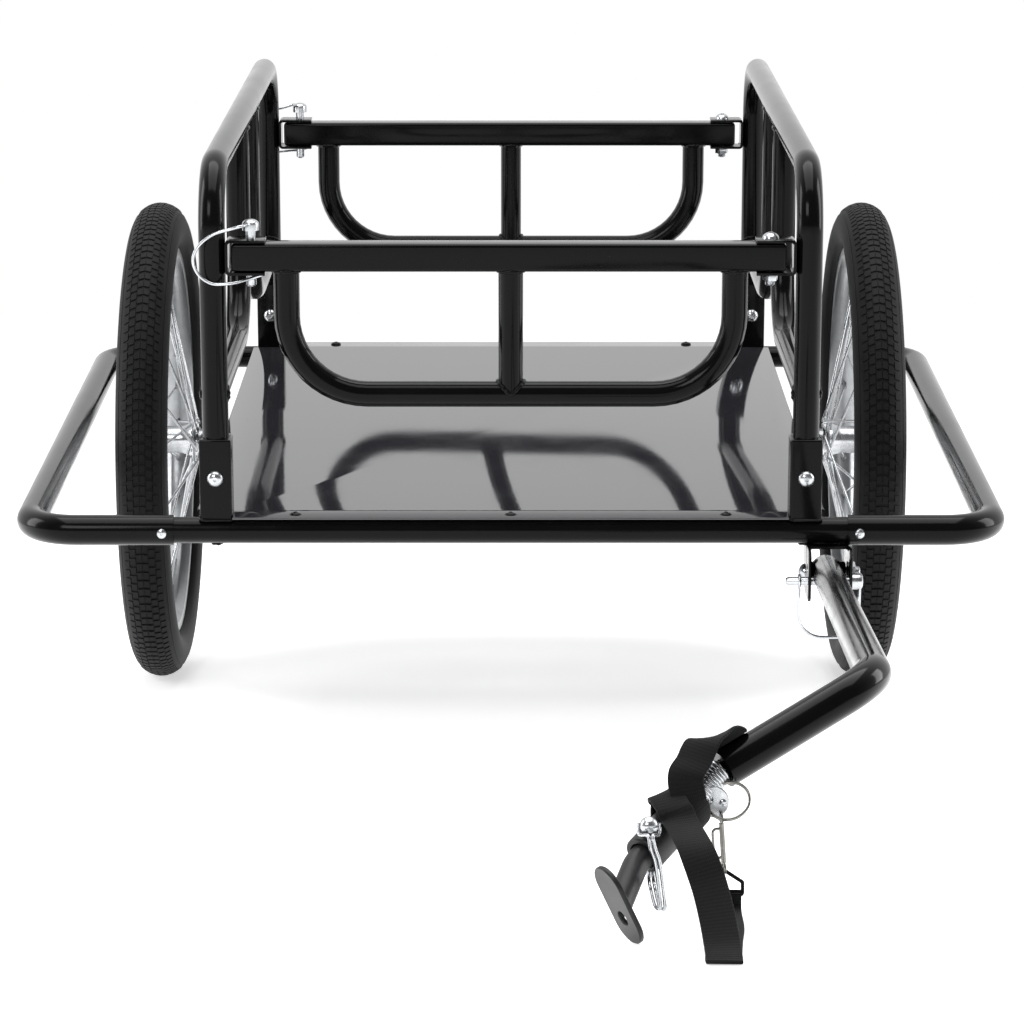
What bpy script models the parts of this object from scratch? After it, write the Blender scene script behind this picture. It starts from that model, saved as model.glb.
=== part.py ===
# Bicycle cargo trailer: a sheet deck on a tube frame, two side frames, two swing gates, a spoked
# wheel each side inside a tube guard, and a cranked tow arm with a spring coupling.
# Everything is modelled in the trailer's own frame: X to the right, Y to the rear, Z up, with the
# origin on the wheels' axis half way between them. Last, the "trailer" empty sets it down as it
# parks, on its two tyres and the tip of the hitch plate, with the floor at Z = 0.

import math

import bmesh
import bpy
from mathutils import Matrix, Vector

# Clearances and finish of the mesh
SEAT_GAP = 0.0003
WELD_GAP = 0.0003
FIT_PLAY = 0.0003
OVERRUN = 0.010
MERGE = 0.00001
TUBE_SIDES = 12
BOLT_SIDES = 10
WIRE_SIDES = 8
ARC_STEP = math.radians(18)
WIRE_ARC_STEP = math.radians(30)

# Deck and its frame
DECK_LENGTH = 0.644
DECK_WIDTH = 0.454
DECK_SHEET = 0.0017
AXLE_SETBACK = 0.061
AXLE_DROP = 0.018
SIDE_SPACING = 0.4234
FRAME_TUBE = 0.019

# Wheel guards
GUARD_TUBE = 0.022
WHEEL_TO_GUARD = 0.0691
GUARD_BEND = 0.036
GUARD_INNER_END = 0.2425
GUARD_OVERLAP = 0.022

# Side frames, their sockets and bolts
LEG_INSET = 0.0125
SOCKET_SIZE = 0.023
SOCKET_HEIGHT = 0.0556
SOCKET_ROUNDING = 0.0015
SOCKET_COPE = 0.0025
SOCKET_FLOOR = 0.002
SOCKET_BOLT_HEIGHT = 0.0284
LEG_FOOT_HEIGHT = 0.004
RAIL_HEIGHT = 0.2485
RAIL_BEND = 0.045
INFILL_TUBE = 0.0186
INFILL_HEIGHT = 0.088
INFILL_BEND = 0.057
INFILL_SPREAD = 0.112
SOCKET_BOLT = 0.006
DOME_HEAD = 0.012
DOME_RISE = 0.0045
SMALL_NUT = 0.010
SMALL_NUT_HEIGHT = 0.005
THREAD_END = 0.003

# Gates, their brackets, bolts and lock pins
GATE_BELOW_RAIL = 0.0604
GATE_TUBE = 0.020
GATE_TUBE_ROUNDING = 0.002
GATE_LENGTH = 0.390
GATE_PIN_INSET = 0.011
GATE_BAR = 0.018
GATE_CENTRE_BAR = 0.0176
GATE_LEG_SPACING = 0.3184
GATE_DEPTH = 0.0999
GATE_BEND = 0.057
GATE_PIN = 0.007
GATE_SIDE_PLAY = 0.0006
BRACKET_SHEET = 0.002
BRACKET_WIDTH = 0.020
BRACKET_REACH = 0.028
LOCK_PIN_RISE = 0.012
LOCK_PIN_TAIL = 0.009
LOCK_PIN_HEAD = 0.012
LOCK_HEAD_RISE = 0.006
LOOP_WIRE = 0.0022
LOOP_REACH = 0.014
LOOP_BEND = 0.010

# Wheels
TYRE_RADIUS = 0.194
TYRE_SECTION = 0.037
SIDE_TO_WHEEL = 0.0743
WHEEL_STEPS = 48
RIM_RADIUS = 0.1585
RIM_WIDTH = 0.025
RIM_DEPTH = 0.014
RIM_WALL = 0.0022
HUB_FLANGE = 0.040
HUB_FLANGE_SHEET = 0.003
HUB_FLANGE_SPACING = 0.054
HUB_BARREL = 0.026
HUB_LENGTH = 0.068
HUB_NECK = 0.018
HUB_PLAY = 0.0006
SPOKE = 0.0021
SPOKE_COUNT = 28
SPOKE_CROSSES = 2
SPOKE_HOLE_INSET = 0.0032

# Axles and the plates that carry them
AXLE = 0.010
AXLE_NUT = 0.013
AXLE_NUT_HEIGHT = 0.007
AXLE_CONE = 0.014
PLATE_SHEET = 0.003
WHEEL_PLATE_LENGTH = 0.060
WHEEL_PLATE_FOOT = 0.026
WHEEL_PLATE_RISE = 0.009
WHEEL_PLATE_DEPTH = 0.018

# Hitch bracket, its bolt and lock pin
HITCH_X = 0.229
HITCH_DROP = 0.045
HITCH_SETBACK = 0.018
LOCK_REACH = 0.026
CLEVIS_SHEET = 0.002
CLEVIS_INSIDE = 0.0275
CLEVIS_LENGTH = 0.050
CLEVIS_REAR = 0.012
CLEVIS_BELOW = 0.017
PIVOT_BOLT = 0.008
PIVOT_BUSH = 0.015
HITCH_LOCK = 0.006
HITCH_LOCK_END = 0.016
HITCH_LOCK_HEAD = 0.012
HITCH_LOOP_RISE = 0.0005
HITCH_LOOP_BEND = 0.006

# Tow arm, spring, sleeve, rod and hitch plate. Places are across, rearward and above the deck.
ARM_TUBE = 0.022
ARM_BEND = 0.036
ARM_TAIL = 0.014
ARM_ELBOW = (0.2085, -0.9239, 0.0411)
ARM_TIP = (0.1159, -0.9705, -0.0013)
SLEEVE_REAR = (0.1010, -0.9857, -0.0143)
SLEEVE_FRONT = (0.0730, -1.0230, -0.0319)
HITCH_PLATE = (0.0590, -1.0563, -0.0482)
SPRING_WIRE = 0.0018
SPRING_OUTER = 0.0200
SPRING_PITCH = 0.0024
SPRING_CORE = 0.0146
SLEEVE_TUBE = 0.0225
SLEEVE_BORE = 0.0160
SLEEVE_BORE_DEPTH = 0.030
ROD = 0.0145
ROD_IN_SLEEVE = 0.026
ROD_BEND = 0.030
HITCH_PLATE_LENGTH = 0.048
HITCH_PLATE_WIDTH = 0.026
HITCH_PLATE_SHEET = 0.003
HITCH_PLATE_HOLE = 0.0085
HITCH_PLATE_HOLE_INSET = 0.0162

# Safety strap and its rings, wire-lock pin of the coupling
PIN_INSET = 0.007
COUPLING_PIN = 0.006
COUPLING_PIN_HEAD = 0.0105
COUPLING_PIN_TOP = 0.0222
COUPLING_PIN_TAIL = 0.020
STRAP_WIDTH = 0.020
STRAP_THICK = 0.0018
TAB_SHEET = 0.002
TAB_RADIUS = 0.0085
TAB_HOLE = 0.007
RING_RADIUS = 0.0115
RING_WIRE = 0.0018
HOOK_WIRE = 0.0020
HOOK_HALF_WIDTH = 0.0036
HOOK_LENGTH = 0.031
BUCKLE_HALF_WIDTH = 0.0128
BUCKLE_HEIGHT = 0.0125
BUCKLE_CORNER = 0.0025
COLLAR_INSET = 0.018
TAB_CENTRE = (0.1190, -0.9915, -0.0040)
COUPLING_LOOP = (
    (0.0770, -1.0390, -0.0230),
    (0.0800, -1.0410, -0.0400),
    (0.0815, -1.0390, -0.0550),
    (0.0805, -1.0250, -0.0600),
)
STRAP_ROUTE = (
    (0.1190, -0.9745, 0.0170),
    (0.1085, -0.9870, 0.0115),
    (0.0975, -1.0020, 0.0065),
    (0.0920, -1.0190, 0.0000),
    (0.0935, -1.0370, -0.0085),
    (0.0990, -1.0530, -0.0175),
    (0.1070, -1.0750, -0.0310),
    (0.1115, -1.0900, -0.0440),
    (0.1137, -1.0980, -0.0540),
    (0.1142, -1.0960, -0.0600),
    (0.1150, -1.0820, -0.0630),
    (0.1175, -1.0500, -0.0675),
    (0.1210, -1.0230, -0.0715),
)

# Directions and shares, which have no length
PLATE_DOWN = Vector((0.42, 0.0, -0.91)).normalized()
PLATE_FACE = Vector((-0.808, -0.460, -0.373)).normalized()
PIN_AXIS = Vector((-0.051, -0.395, 0.917)).normalized()
STRAP_ACROSS = Vector((1.0, 0.0, 0.0))
HANG = Vector((0.0, -0.146, -0.989)).normalized()
RING_WAY = Vector((0.63, -0.78, 0.0)).normalized()
RING_ANGLE = math.radians(50)
HOOK_SIDE = Vector((0.5, 0.866, 0.0)).normalized()
BUCKLE_DOWN = Vector((0.0, -0.38, -0.92)).normalized()
COLLAR_START = math.radians(-150)
COLLAR_TURN = math.radians(235)
COLLAR_STEPS = 12
WRAP_STEPS = 6
HALF_SHARE = 0.5
PLATE_END_SHARE = 0.96
TYRE_BEAD_ANGLE = math.radians(125)
TYRE_ARCS = 8

# Worked out from the sizes above
FRAME_Z = AXLE_DROP
DECK_TOP = FRAME_Z + FRAME_TUBE / 2 + SEAT_GAP + DECK_SHEET
DECK_FRONT = -DECK_LENGTH / 2 - AXLE_SETBACK
DECK_REAR = DECK_LENGTH / 2 - AXLE_SETBACK
TUBE_FRONT = DECK_FRONT + FRAME_TUBE / 2
TUBE_REAR = DECK_REAR - FRAME_TUBE / 2
SIDE_X = SIDE_SPACING / 2
WHEEL_X = SIDE_X + SIDE_TO_WHEEL
GUARD_X = WHEEL_X + WHEEL_TO_GUARD
LEG_FRONT = DECK_FRONT + LEG_INSET
LEG_REAR = DECK_REAR - LEG_INSET
LEG_MIDDLE = (LEG_FRONT + LEG_REAR) / 2
RAIL_Z = DECK_TOP + RAIL_HEIGHT
INFILL_Z = DECK_TOP + INFILL_HEIGHT
SOCKET_BOLT_Z = DECK_TOP + SOCKET_BOLT_HEIGHT
GATE_Z = RAIL_Z - GATE_BELOW_RAIL
GATE_LOW_Z = GATE_Z - GATE_DEPTH
GATE_HALF = GATE_LENGTH / 2
GATE_PIN_X = GATE_HALF - GATE_PIN_INSET
BRACKET_HALF = GATE_TUBE / 2 + GATE_SIDE_PLAY + BRACKET_SHEET
HITCH_Y = DECK_FRONT + HITCH_SETBACK
HITCH_Z = DECK_TOP - HITCH_DROP
LOCK_Y = HITCH_Y - LOCK_REACH
CLEVIS_HALF = CLEVIS_INSIDE / 2 + CLEVIS_SHEET
SIDES = (("left", -1), ("right", 1))
ENDS = (("front", -1, TUBE_FRONT, LEG_FRONT), ("rear", 1, TUBE_REAR, LEG_REAR))
UP = Vector((0, 0, 1))


# A clean scene, its collections and materials

for old in list(bpy.data.objects):
    bpy.data.objects.remove(old, do_unlink=True)

parts = bpy.data.collections.new("bicycle_cargo_trailer")
cutters = bpy.data.collections.new("cutters")
bpy.context.scene.collection.children.link(parts)
bpy.context.scene.collection.children.link(cutters)


def finish(name, colour, roughness, metallic):
    material = bpy.data.materials.new(name)
    material.use_nodes = True
    shader = material.node_tree.nodes["Principled BSDF"]
    shader.inputs["Base Color"].default_value = (*colour, 1.0)
    shader.inputs["Roughness"].default_value = roughness
    shader.inputs["Metallic"].default_value = metallic
    material.diffuse_color = (*colour, 1.0)
    return material


black_paint = finish("black_gloss_paint", (0.012, 0.012, 0.014), 0.18, 0.0)
zinc = finish("bright_zinc", (0.62, 0.64, 0.66), 0.28, 1.0)
alloy = finish("rim_alloy", (0.60, 0.60, 0.60), 0.35, 1.0)
rubber = finish("tyre_rubber", (0.018, 0.018, 0.018), 0.80, 0.0)
webbing = finish("black_webbing", (0.010, 0.010, 0.011), 0.90, 0.0)


# Empties that the pieces hang from, one on each joint's axis

def hold(name, parent, place):
    holder = bpy.data.objects.new(name, None)
    holder.location = place
    holder.parent = parent
    parts.objects.link(holder)
    return holder


trailer = hold("trailer", None, (0, 0, 0))
wheel_axis = {side: hold("wheel_axis_" + side, trailer, (way * WHEEL_X, 0, 0)) for side, way in SIDES}
gate_axis = {end: hold("gate_axis_" + end, trailer, (GATE_PIN_X, leg_y, GATE_Z))
             for end, way, tube_y, leg_y in ENDS}
hitch_axis = hold("hitch_axis", trailer, (HITCH_X, HITCH_Y, HITCH_Z))
bpy.context.view_layer.update()


def put(obj, name, material, holder):
    # Names a piece, gives it its material and hangs it from its empty without moving it
    obj.name = name
    obj.data.name = name
    obj.data.materials.clear()
    obj.data.materials.append(material)
    obj.parent = holder
    obj.matrix_parent_inverse = holder.matrix_world.inverted()
    return obj


# Joining and cutting

def combine(target, other, operation):
    parts.objects.unlink(other)
    cutters.objects.link(other)
    other.name = "cutter"
    other.parent = target
    other.hide_render = True
    other.display_type = "WIRE"
    step = target.modifiers.new(operation.lower(), "BOOLEAN")
    step.operation = operation
    step.solver = "EXACT"
    step.object = other


def cut(target, *others):
    for other in others:
        combine(target, other, "DIFFERENCE")
    return target


def join(target, *others):
    for other in others:
        combine(target, other, "UNION")
    return target


# Basic shapes

def solid(build, name):
    # A mesh object from what the given function builds
    data = bpy.data.meshes.new(name)
    body = bmesh.new()
    build(body)
    body.to_mesh(data)
    body.free()
    obj = bpy.data.objects.new(name, data)
    parts.objects.link(obj)
    return obj


def block(low, high, rounding=0):
    low, high = Vector(low), Vector(high)
    frame = Matrix.Translation((low + high) / 2) @ Matrix.Diagonal((*(high - low), 1))
    obj = solid(lambda body: bmesh.ops.create_cube(body, size=1, matrix=frame), "block")
    if rounding:
        bevel = obj.modifiers.new("rounding", "BEVEL")
        bevel.width = rounding
        bevel.segments = 2
    return obj


def rod(start, end, diameter, sides=TUBE_SIDES, turn=0):
    # A straight round bar, hole or hexagon from one point to another
    start, end = Vector(start), Vector(end)
    along = end - start
    aim = along.to_track_quat("Z", "Y").to_matrix().to_4x4()
    frame = Matrix.Translation((start + end) / 2) @ aim @ Matrix.Rotation(turn, 4, "Z")
    return solid(lambda body: bmesh.ops.create_cone(
        body, cap_ends=True, segments=sides, radius1=diameter / 2, radius2=diameter / 2,
        depth=along.length, matrix=frame), "rod")


def nut(start, end, across):
    # A hexagon with a flat at its top
    return rod(start, end, across / math.cos(math.pi / 6), 6, math.pi / 6)


def turned(profile, origin, axis, steps, closed=False):
    # A profile of (radius, height) pairs spun about an axis through the origin
    data = bpy.data.meshes.new("turned")
    edges = [(i, i + 1) for i in range(len(profile) - 1)]
    if closed:
        edges.append((len(profile) - 1, 0))
    data.from_pydata([(radius, 0, height) for radius, height in profile], edges, [])
    obj = bpy.data.objects.new("turned", data)
    parts.objects.link(obj)
    obj.location = origin
    obj.rotation_mode = "QUATERNION"
    obj.rotation_quaternion = Vector(axis).to_track_quat("Z", "Y")
    spin = obj.modifiers.new("spin", "SCREW")
    spin.axis = "Z"
    spin.angle = math.tau
    spin.steps = steps
    spin.render_steps = steps
    spin.use_merge_vertices = True
    spin.merge_threshold = MERGE
    return obj


def meshed(obj):
    # The evaluated shape as a plain mesh in the trailer's frame, with its seams welded
    bpy.context.view_layer.update()
    graph = bpy.context.evaluated_depsgraph_get()
    data = bpy.data.meshes.new_from_object(obj.evaluated_get(graph))
    data.transform(obj.matrix_world)
    body = bmesh.new()
    body.from_mesh(data)
    bmesh.ops.remove_doubles(body, verts=body.verts, dist=MERGE)
    bmesh.ops.recalc_face_normals(body, faces=body.faces)
    body.to_mesh(data)
    body.free()
    made = bpy.data.objects.new("mesh", data)
    parts.objects.link(made)
    bpy.data.objects.remove(obj, do_unlink=True)
    return made


def arc_points(before, corner, after, radius, arc_step=ARC_STEP):
    # The points of a round bend that replaces a sharp corner
    inward = (before - corner).normalized()
    outward = (after - corner).normalized()
    turn = math.pi - inward.angle(outward)
    if turn < MERGE:
        return [corner]
    start = corner + inward * radius * math.tan(turn / 2)
    centre = corner + (inward + outward).normalized() * radius / math.cos(turn / 2)
    axis = outward.cross(inward).normalized()
    steps = max(2, math.ceil(turn / arc_step - MERGE))
    return [centre + Matrix.Rotation(turn * i / steps, 3, axis) @ (start - centre)
            for i in range(steps + 1)]


def bent(points, radius, arc_step=ARC_STEP):
    # A route through the points with every inner corner rounded
    points = [Vector(p) for p in points]
    route = [points[0]]
    for before, corner, after in zip(points, points[1:], points[2:]):
        route += arc_points(before, corner, after, radius, arc_step)
    return route + [points[-1]]


def tube(route, diameter, sides=TUBE_SIDES, closed=False):
    # A round bar along a route
    data = bpy.data.curves.new("tube", "CURVE")
    data.dimensions = "3D"
    data.bevel_depth = diameter / 2
    data.bevel_resolution = (sides - 4) // 2
    data.use_fill_caps = not closed
    line = data.splines.new("POLY")
    line.points.add(len(route) - 1)
    for point, spot in zip(line.points, route):
        point.co = (*spot, 1)
    line.use_cyclic_u = closed
    obj = bpy.data.objects.new("tube", data)
    parts.objects.link(obj)
    return meshed(obj)


def frame_at(origin, across, up):
    # A frame with its first two axes along the given directions
    across, up = Vector(across).normalized(), Vector(up).normalized()
    turn = Matrix((across, up, across.cross(up))).transposed().to_4x4()
    return Matrix.Translation(Vector(origin)) @ turn


def plate(outline, thickness, frame):
    # A flat outline made a plate, half its thickness to each side of the frame's plane
    data = bpy.data.curves.new("plate", "CURVE")
    data.dimensions = "2D"
    data.fill_mode = "BOTH"
    data.extrude = thickness / 2
    line = data.splines.new("POLY")
    line.points.add(len(outline) - 1)
    for point, (across, up) in zip(line.points, outline):
        point.co = (across, up, 0, 1)
    line.use_cyclic_u = True
    obj = bpy.data.objects.new("plate", data)
    obj.matrix_world = frame
    parts.objects.link(obj)
    return meshed(obj)


def rounded(corners, radius):
    # A closed flat outline with round corners
    points = [Vector((x, y, 0)) for x, y in corners]
    ring = []
    for i, corner in enumerate(points):
        ring += arc_points(points[i - 1], corner, points[(i + 1) % len(points)], radius)
    return [(p.x, p.y) for p in ring]


def rectangle(half_width, half_height):
    return [(-half_width, -half_height), (half_width, -half_height), (half_width, half_height),
            (-half_width, half_height)]


def bolt(seat, axis, grip, shank, nut_size, nut_height):
    # A dome-head bolt through a grip, with a hexagon nut on its far side
    axis = Vector(axis)
    seat = Vector(seat)
    arcs = 3
    dome = [(DOME_HEAD / 2 * math.sin(math.pi / 2 * i / arcs), DOME_RISE * math.cos(math.pi / 2 * i / arcs))
            for i in range(arcs + 1)]
    end = -grip - nut_height - THREAD_END
    made = turned(dome + [(shank / 2, 0), (shank / 2, end), (0, end)], seat + axis * SEAT_GAP, axis,
                  BOLT_SIDES)
    far = seat - axis * (grip + SEAT_GAP)
    return join(meshed(made), nut(far, far - axis * nut_height, nut_size))


# Deck frame: two cross tubes, two side tubes and a bearer between them

for end, way_y, tube_y, leg_y in ENDS:
    half = GUARD_INNER_END + GUARD_OVERLAP
    bar = tube([(-half, tube_y, FRAME_Z), (half, tube_y, FRAME_Z)], FRAME_TUBE)
    put(bar, end + "_cross_tube", black_paint, trailer)

side_start = TUBE_FRONT + FRAME_TUBE / 2 + WELD_GAP
side_end = TUBE_REAR - FRAME_TUBE / 2 - WELD_GAP
for side, way in SIDES:
    bar = tube([(way * SIDE_X, side_start, FRAME_Z), (way * SIDE_X, side_end, FRAME_Z)], FRAME_TUBE)
    put(bar, "side_tube_" + side, black_paint, trailer)

bearer_half = SIDE_X - FRAME_TUBE / 2 - WELD_GAP
bearer_y = (TUBE_FRONT + TUBE_REAR) / 2
bearer = tube([(-bearer_half, bearer_y, FRAME_Z), (bearer_half, bearer_y, FRAME_Z)], FRAME_TUBE)
put(bearer, "deck_bearer", black_paint, trailer)

# Deck sheet, notched at its corners where the sockets stand on the cross tubes
sheet = block((-DECK_WIDTH / 2, DECK_FRONT, DECK_TOP - DECK_SHEET), (DECK_WIDTH / 2, DECK_REAR, DECK_TOP))
for end, way_y, tube_y, leg_y in ENDS:
    for side, way in SIDES:
        near = leg_y - way_y * (SOCKET_SIZE / 2 + SEAT_GAP)
        far = leg_y + way_y * (LEG_INSET + OVERRUN)
        inner = way * (SIDE_X - SOCKET_SIZE / 2 - SEAT_GAP)
        outer = way * (DECK_WIDTH / 2 + OVERRUN)
        cut(sheet, block((min(inner, outer), min(near, far), DECK_TOP - OVERRUN),
                         (max(inner, outer), max(near, far), DECK_TOP + OVERRUN)))
put(sheet, "deck_sheet", black_paint, trailer)


# Wheel guards: a tube round the outside of each wheel, slipped over the cross tubes' ends

def wheel_guard(way):
    route = [(way * GUARD_INNER_END, TUBE_FRONT, FRAME_Z), (way * GUARD_X, TUBE_FRONT, FRAME_Z),
             (way * GUARD_X, TUBE_REAR, FRAME_Z), (way * GUARD_INNER_END, TUBE_REAR, FRAME_Z)]
    guard = tube(bent(route, GUARD_BEND), GUARD_TUBE)
    for end, way_y, tube_y, leg_y in ENDS:
        mouth = way * (GUARD_INNER_END - OVERRUN)
        deep = way * (GUARD_INNER_END + GUARD_OVERLAP + FIT_PLAY)
        cut(guard, rod((mouth, tube_y, FRAME_Z), (deep, tube_y, FRAME_Z), FRAME_TUBE + 2 * FIT_PLAY))
    return guard


for side, way in SIDES:
    put(wheel_guard(way), "guard_" + side, black_paint, trailer)


# Side frames: a bent hoop with two hooked infill tubes, its legs bolted into square sockets

def side_frame(way):
    x = way * SIDE_X
    foot = DECK_TOP + LEG_FOOT_HEIGHT
    hoop = tube(bent([(x, LEG_FRONT, foot), (x, LEG_FRONT, RAIL_Z), (x, LEG_REAR, RAIL_Z),
                      (x, LEG_REAR, foot)], RAIL_BEND), FRAME_TUBE)
    for end, way_y, tube_y, leg_y in ENDS:
        bar_y = LEG_MIDDLE + way_y * INFILL_SPREAD / 2
        join(hoop, tube(bent([(x, bar_y, RAIL_Z), (x, bar_y, INFILL_Z), (x, leg_y, INFILL_Z)],
                             INFILL_BEND), INFILL_TUBE))
    for end, way_y, tube_y, leg_y in ENDS:
        reach = FRAME_TUBE / 2 + OVERRUN
        cut(hoop, rod((x, leg_y - reach, SOCKET_BOLT_Z), (x, leg_y + reach, SOCKET_BOLT_Z),
                      SOCKET_BOLT + 2 * FIT_PLAY, BOLT_SIDES))
    return hoop


def socket(x, leg_y, tube_y):
    half = SOCKET_SIZE / 2
    bore = FRAME_TUBE / 2 + FIT_PLAY
    top = DECK_TOP + SOCKET_HEIGHT
    low = FRAME_Z + FRAME_TUBE / 2 - SOCKET_COPE
    body = block((x - half, leg_y - half, low), (x + half, leg_y + half, top))
    reach = half + OVERRUN
    saddle = FRAME_TUBE + 2 * WELD_GAP
    side_saddle = saddle + 2 * WELD_GAP
    cut(body,
        block((x - bore, leg_y - bore, DECK_TOP + SOCKET_FLOOR), (x + bore, leg_y + bore, top + OVERRUN)),
        rod((x - reach, tube_y, FRAME_Z), (x + reach, tube_y, FRAME_Z), saddle),
        rod((x, leg_y - reach, FRAME_Z), (x, leg_y + reach, FRAME_Z), side_saddle),
        rod((x, leg_y - reach, SOCKET_BOLT_Z), (x, leg_y + reach, SOCKET_BOLT_Z),
            SOCKET_BOLT + 2 * FIT_PLAY, BOLT_SIDES))
    return body


for side, way in SIDES:
    put(side_frame(way), "side_frame_" + side, black_paint, trailer)
    for end, way_y, tube_y, leg_y in ENDS:
        x = way * SIDE_X
        put(socket(x, leg_y, tube_y), "socket_%s_%s" % (end, side), black_paint, trailer)
        seat = (x, leg_y - SOCKET_SIZE / 2, SOCKET_BOLT_Z)
        made = bolt(seat, (0, -1, 0), SOCKET_SIZE, SOCKET_BOLT, SMALL_NUT, SMALL_NUT_HEIGHT)
        put(made, "socket_bolt_%s_%s" % (end, side), zinc, trailer)


# Gates: a square top tube with a round U frame and a centre bar under it

def gate(leg_y):
    half = GATE_TUBE / 2
    top = block((-GATE_HALF, leg_y - half, GATE_Z - half), (GATE_HALF, leg_y + half, GATE_Z + half),
                GATE_TUBE_ROUNDING)
    hang = GATE_LEG_SPACING / 2
    join(top,
         tube(bent([(-hang, leg_y, GATE_Z), (-hang, leg_y, GATE_LOW_Z), (hang, leg_y, GATE_LOW_Z),
                    (hang, leg_y, GATE_Z)], GATE_BEND), GATE_BAR),
         rod((0, leg_y, GATE_LOW_Z), (0, leg_y, GATE_Z), GATE_CENTRE_BAR))
    for side, way in SIDES:
        x = way * GATE_PIN_X
        reach = half + OVERRUN
        cut(top, rod((x, leg_y, GATE_Z - reach), (x, leg_y, GATE_Z + reach), GATE_PIN + 2 * FIT_PLAY,
                     BOLT_SIDES))
    return top


def gate_bracket(way, leg_y):
    # A folded U of sheet on the leg's inner side, with a flange over and under the gate
    back = way * (SIDE_X - FRAME_TUBE / 2 - WELD_GAP)
    web = back - way * BRACKET_SHEET
    tip = back - way * BRACKET_REACH
    inside = BRACKET_HALF - BRACKET_SHEET
    outline = [(tip, -BRACKET_HALF), (back, -BRACKET_HALF), (back, BRACKET_HALF), (tip, BRACKET_HALF),
               (tip, inside), (web, inside), (web, -inside), (tip, -inside)]
    made = plate(outline, BRACKET_WIDTH, frame_at((0, leg_y, GATE_Z), (1, 0, 0), UP))
    x = way * GATE_PIN_X
    reach = BRACKET_HALF + OVERRUN
    return cut(made, rod((x, leg_y, GATE_Z - reach), (x, leg_y, GATE_Z + reach), GATE_PIN + 2 * FIT_PLAY,
                         BOLT_SIDES))


def gate_lock(leg_y):
    # The lock pin of a gate's free end, drawn short of the gate, with its spring wire loop
    x = -GATE_PIN_X
    top = GATE_Z + BRACKET_HALF + LOCK_PIN_RISE
    low = GATE_Z - BRACKET_HALF - LOCK_PIN_TAIL
    inside = GATE_TUBE / 2 + GATE_SIDE_PLAY
    wire_y = leg_y - FRAME_TUBE / 2 - LOOP_WIRE
    outer = -SIDE_X - LOOP_REACH
    route = bent([(x, leg_y, top - LOCK_HEAD_RISE / 2), (x, wire_y, top - LOCK_HEAD_RISE / 2),
                  (outer, wire_y, top - LOCK_HEAD_RISE / 2), (outer, wire_y, low + LOOP_WIRE),
                  (x, wire_y, low + LOOP_WIRE), (x, leg_y, low + LOOP_WIRE)], LOOP_BEND * HALF_SHARE,
                 WIRE_ARC_STEP)
    return join(rod((x, leg_y, GATE_Z + inside), (x, leg_y, top), GATE_PIN, BOLT_SIDES),
                rod((x, leg_y, top - LOCK_HEAD_RISE), (x, leg_y, top + LOOP_WIRE), LOCK_PIN_HEAD, BOLT_SIDES),
                rod((x, leg_y, GATE_Z - inside), (x, leg_y, low), GATE_PIN, BOLT_SIDES),
                tube(route, LOOP_WIRE, WIRE_SIDES))


for end, way_y, tube_y, leg_y in ENDS:
    put(gate(leg_y), "gate_" + end, black_paint, gate_axis[end])
    for side, way in SIDES:
        put(gate_bracket(way, leg_y), "gate_bracket_%s_%s" % (end, side), zinc, trailer)
    made = bolt((GATE_PIN_X, leg_y, GATE_Z + BRACKET_HALF), UP, 2 * BRACKET_HALF, GATE_PIN, SMALL_NUT,
                SMALL_NUT_HEIGHT)
    put(made, "gate_bolt_" + end, zinc, trailer)
    put(gate_lock(leg_y), "gate_lock_pin_" + end, zinc, trailer)


# Wheels: a tyre, a rim, and a hub with its laced spokes

def tyre(x):
    # A round section whose flats, not its corners, touch the floor
    half = TYRE_SECTION / 2
    spread = 1 / math.cos(math.pi / WHEEL_STEPS)
    seat = RIM_RADIUS + SEAT_GAP
    section = [(seat, -RIM_WIDTH / 2), (seat, RIM_WIDTH / 2)]
    for i in range(TYRE_ARCS + 1):
        angle = TYRE_BEAD_ANGLE * (1 - 2 * i / TYRE_ARCS)
        section.append((TYRE_RADIUS - half + half * math.cos(angle), half * math.sin(angle)))
    return turned([(radius * spread, height) for radius, height in section], (x, 0, 0), (1, 0, 0),
                  WHEEL_STEPS, closed=True)


def rim(x):
    # Two flanges standing on a channel
    bed = RIM_RADIUS - RIM_DEPTH
    half = RIM_WIDTH / 2
    side = [(bed, half / 2), (RIM_RADIUS - RIM_DEPTH / 2, half), (RIM_RADIUS, half),
            (RIM_RADIUS, half - RIM_WALL), (bed + RIM_WALL, half / 2 - RIM_WALL / 2)]
    other = [(radius, -height) for radius, height in reversed(side)]
    return turned(side + other, (x, 0, 0), (1, 0, 0), WHEEL_STEPS, closed=True)


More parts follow.
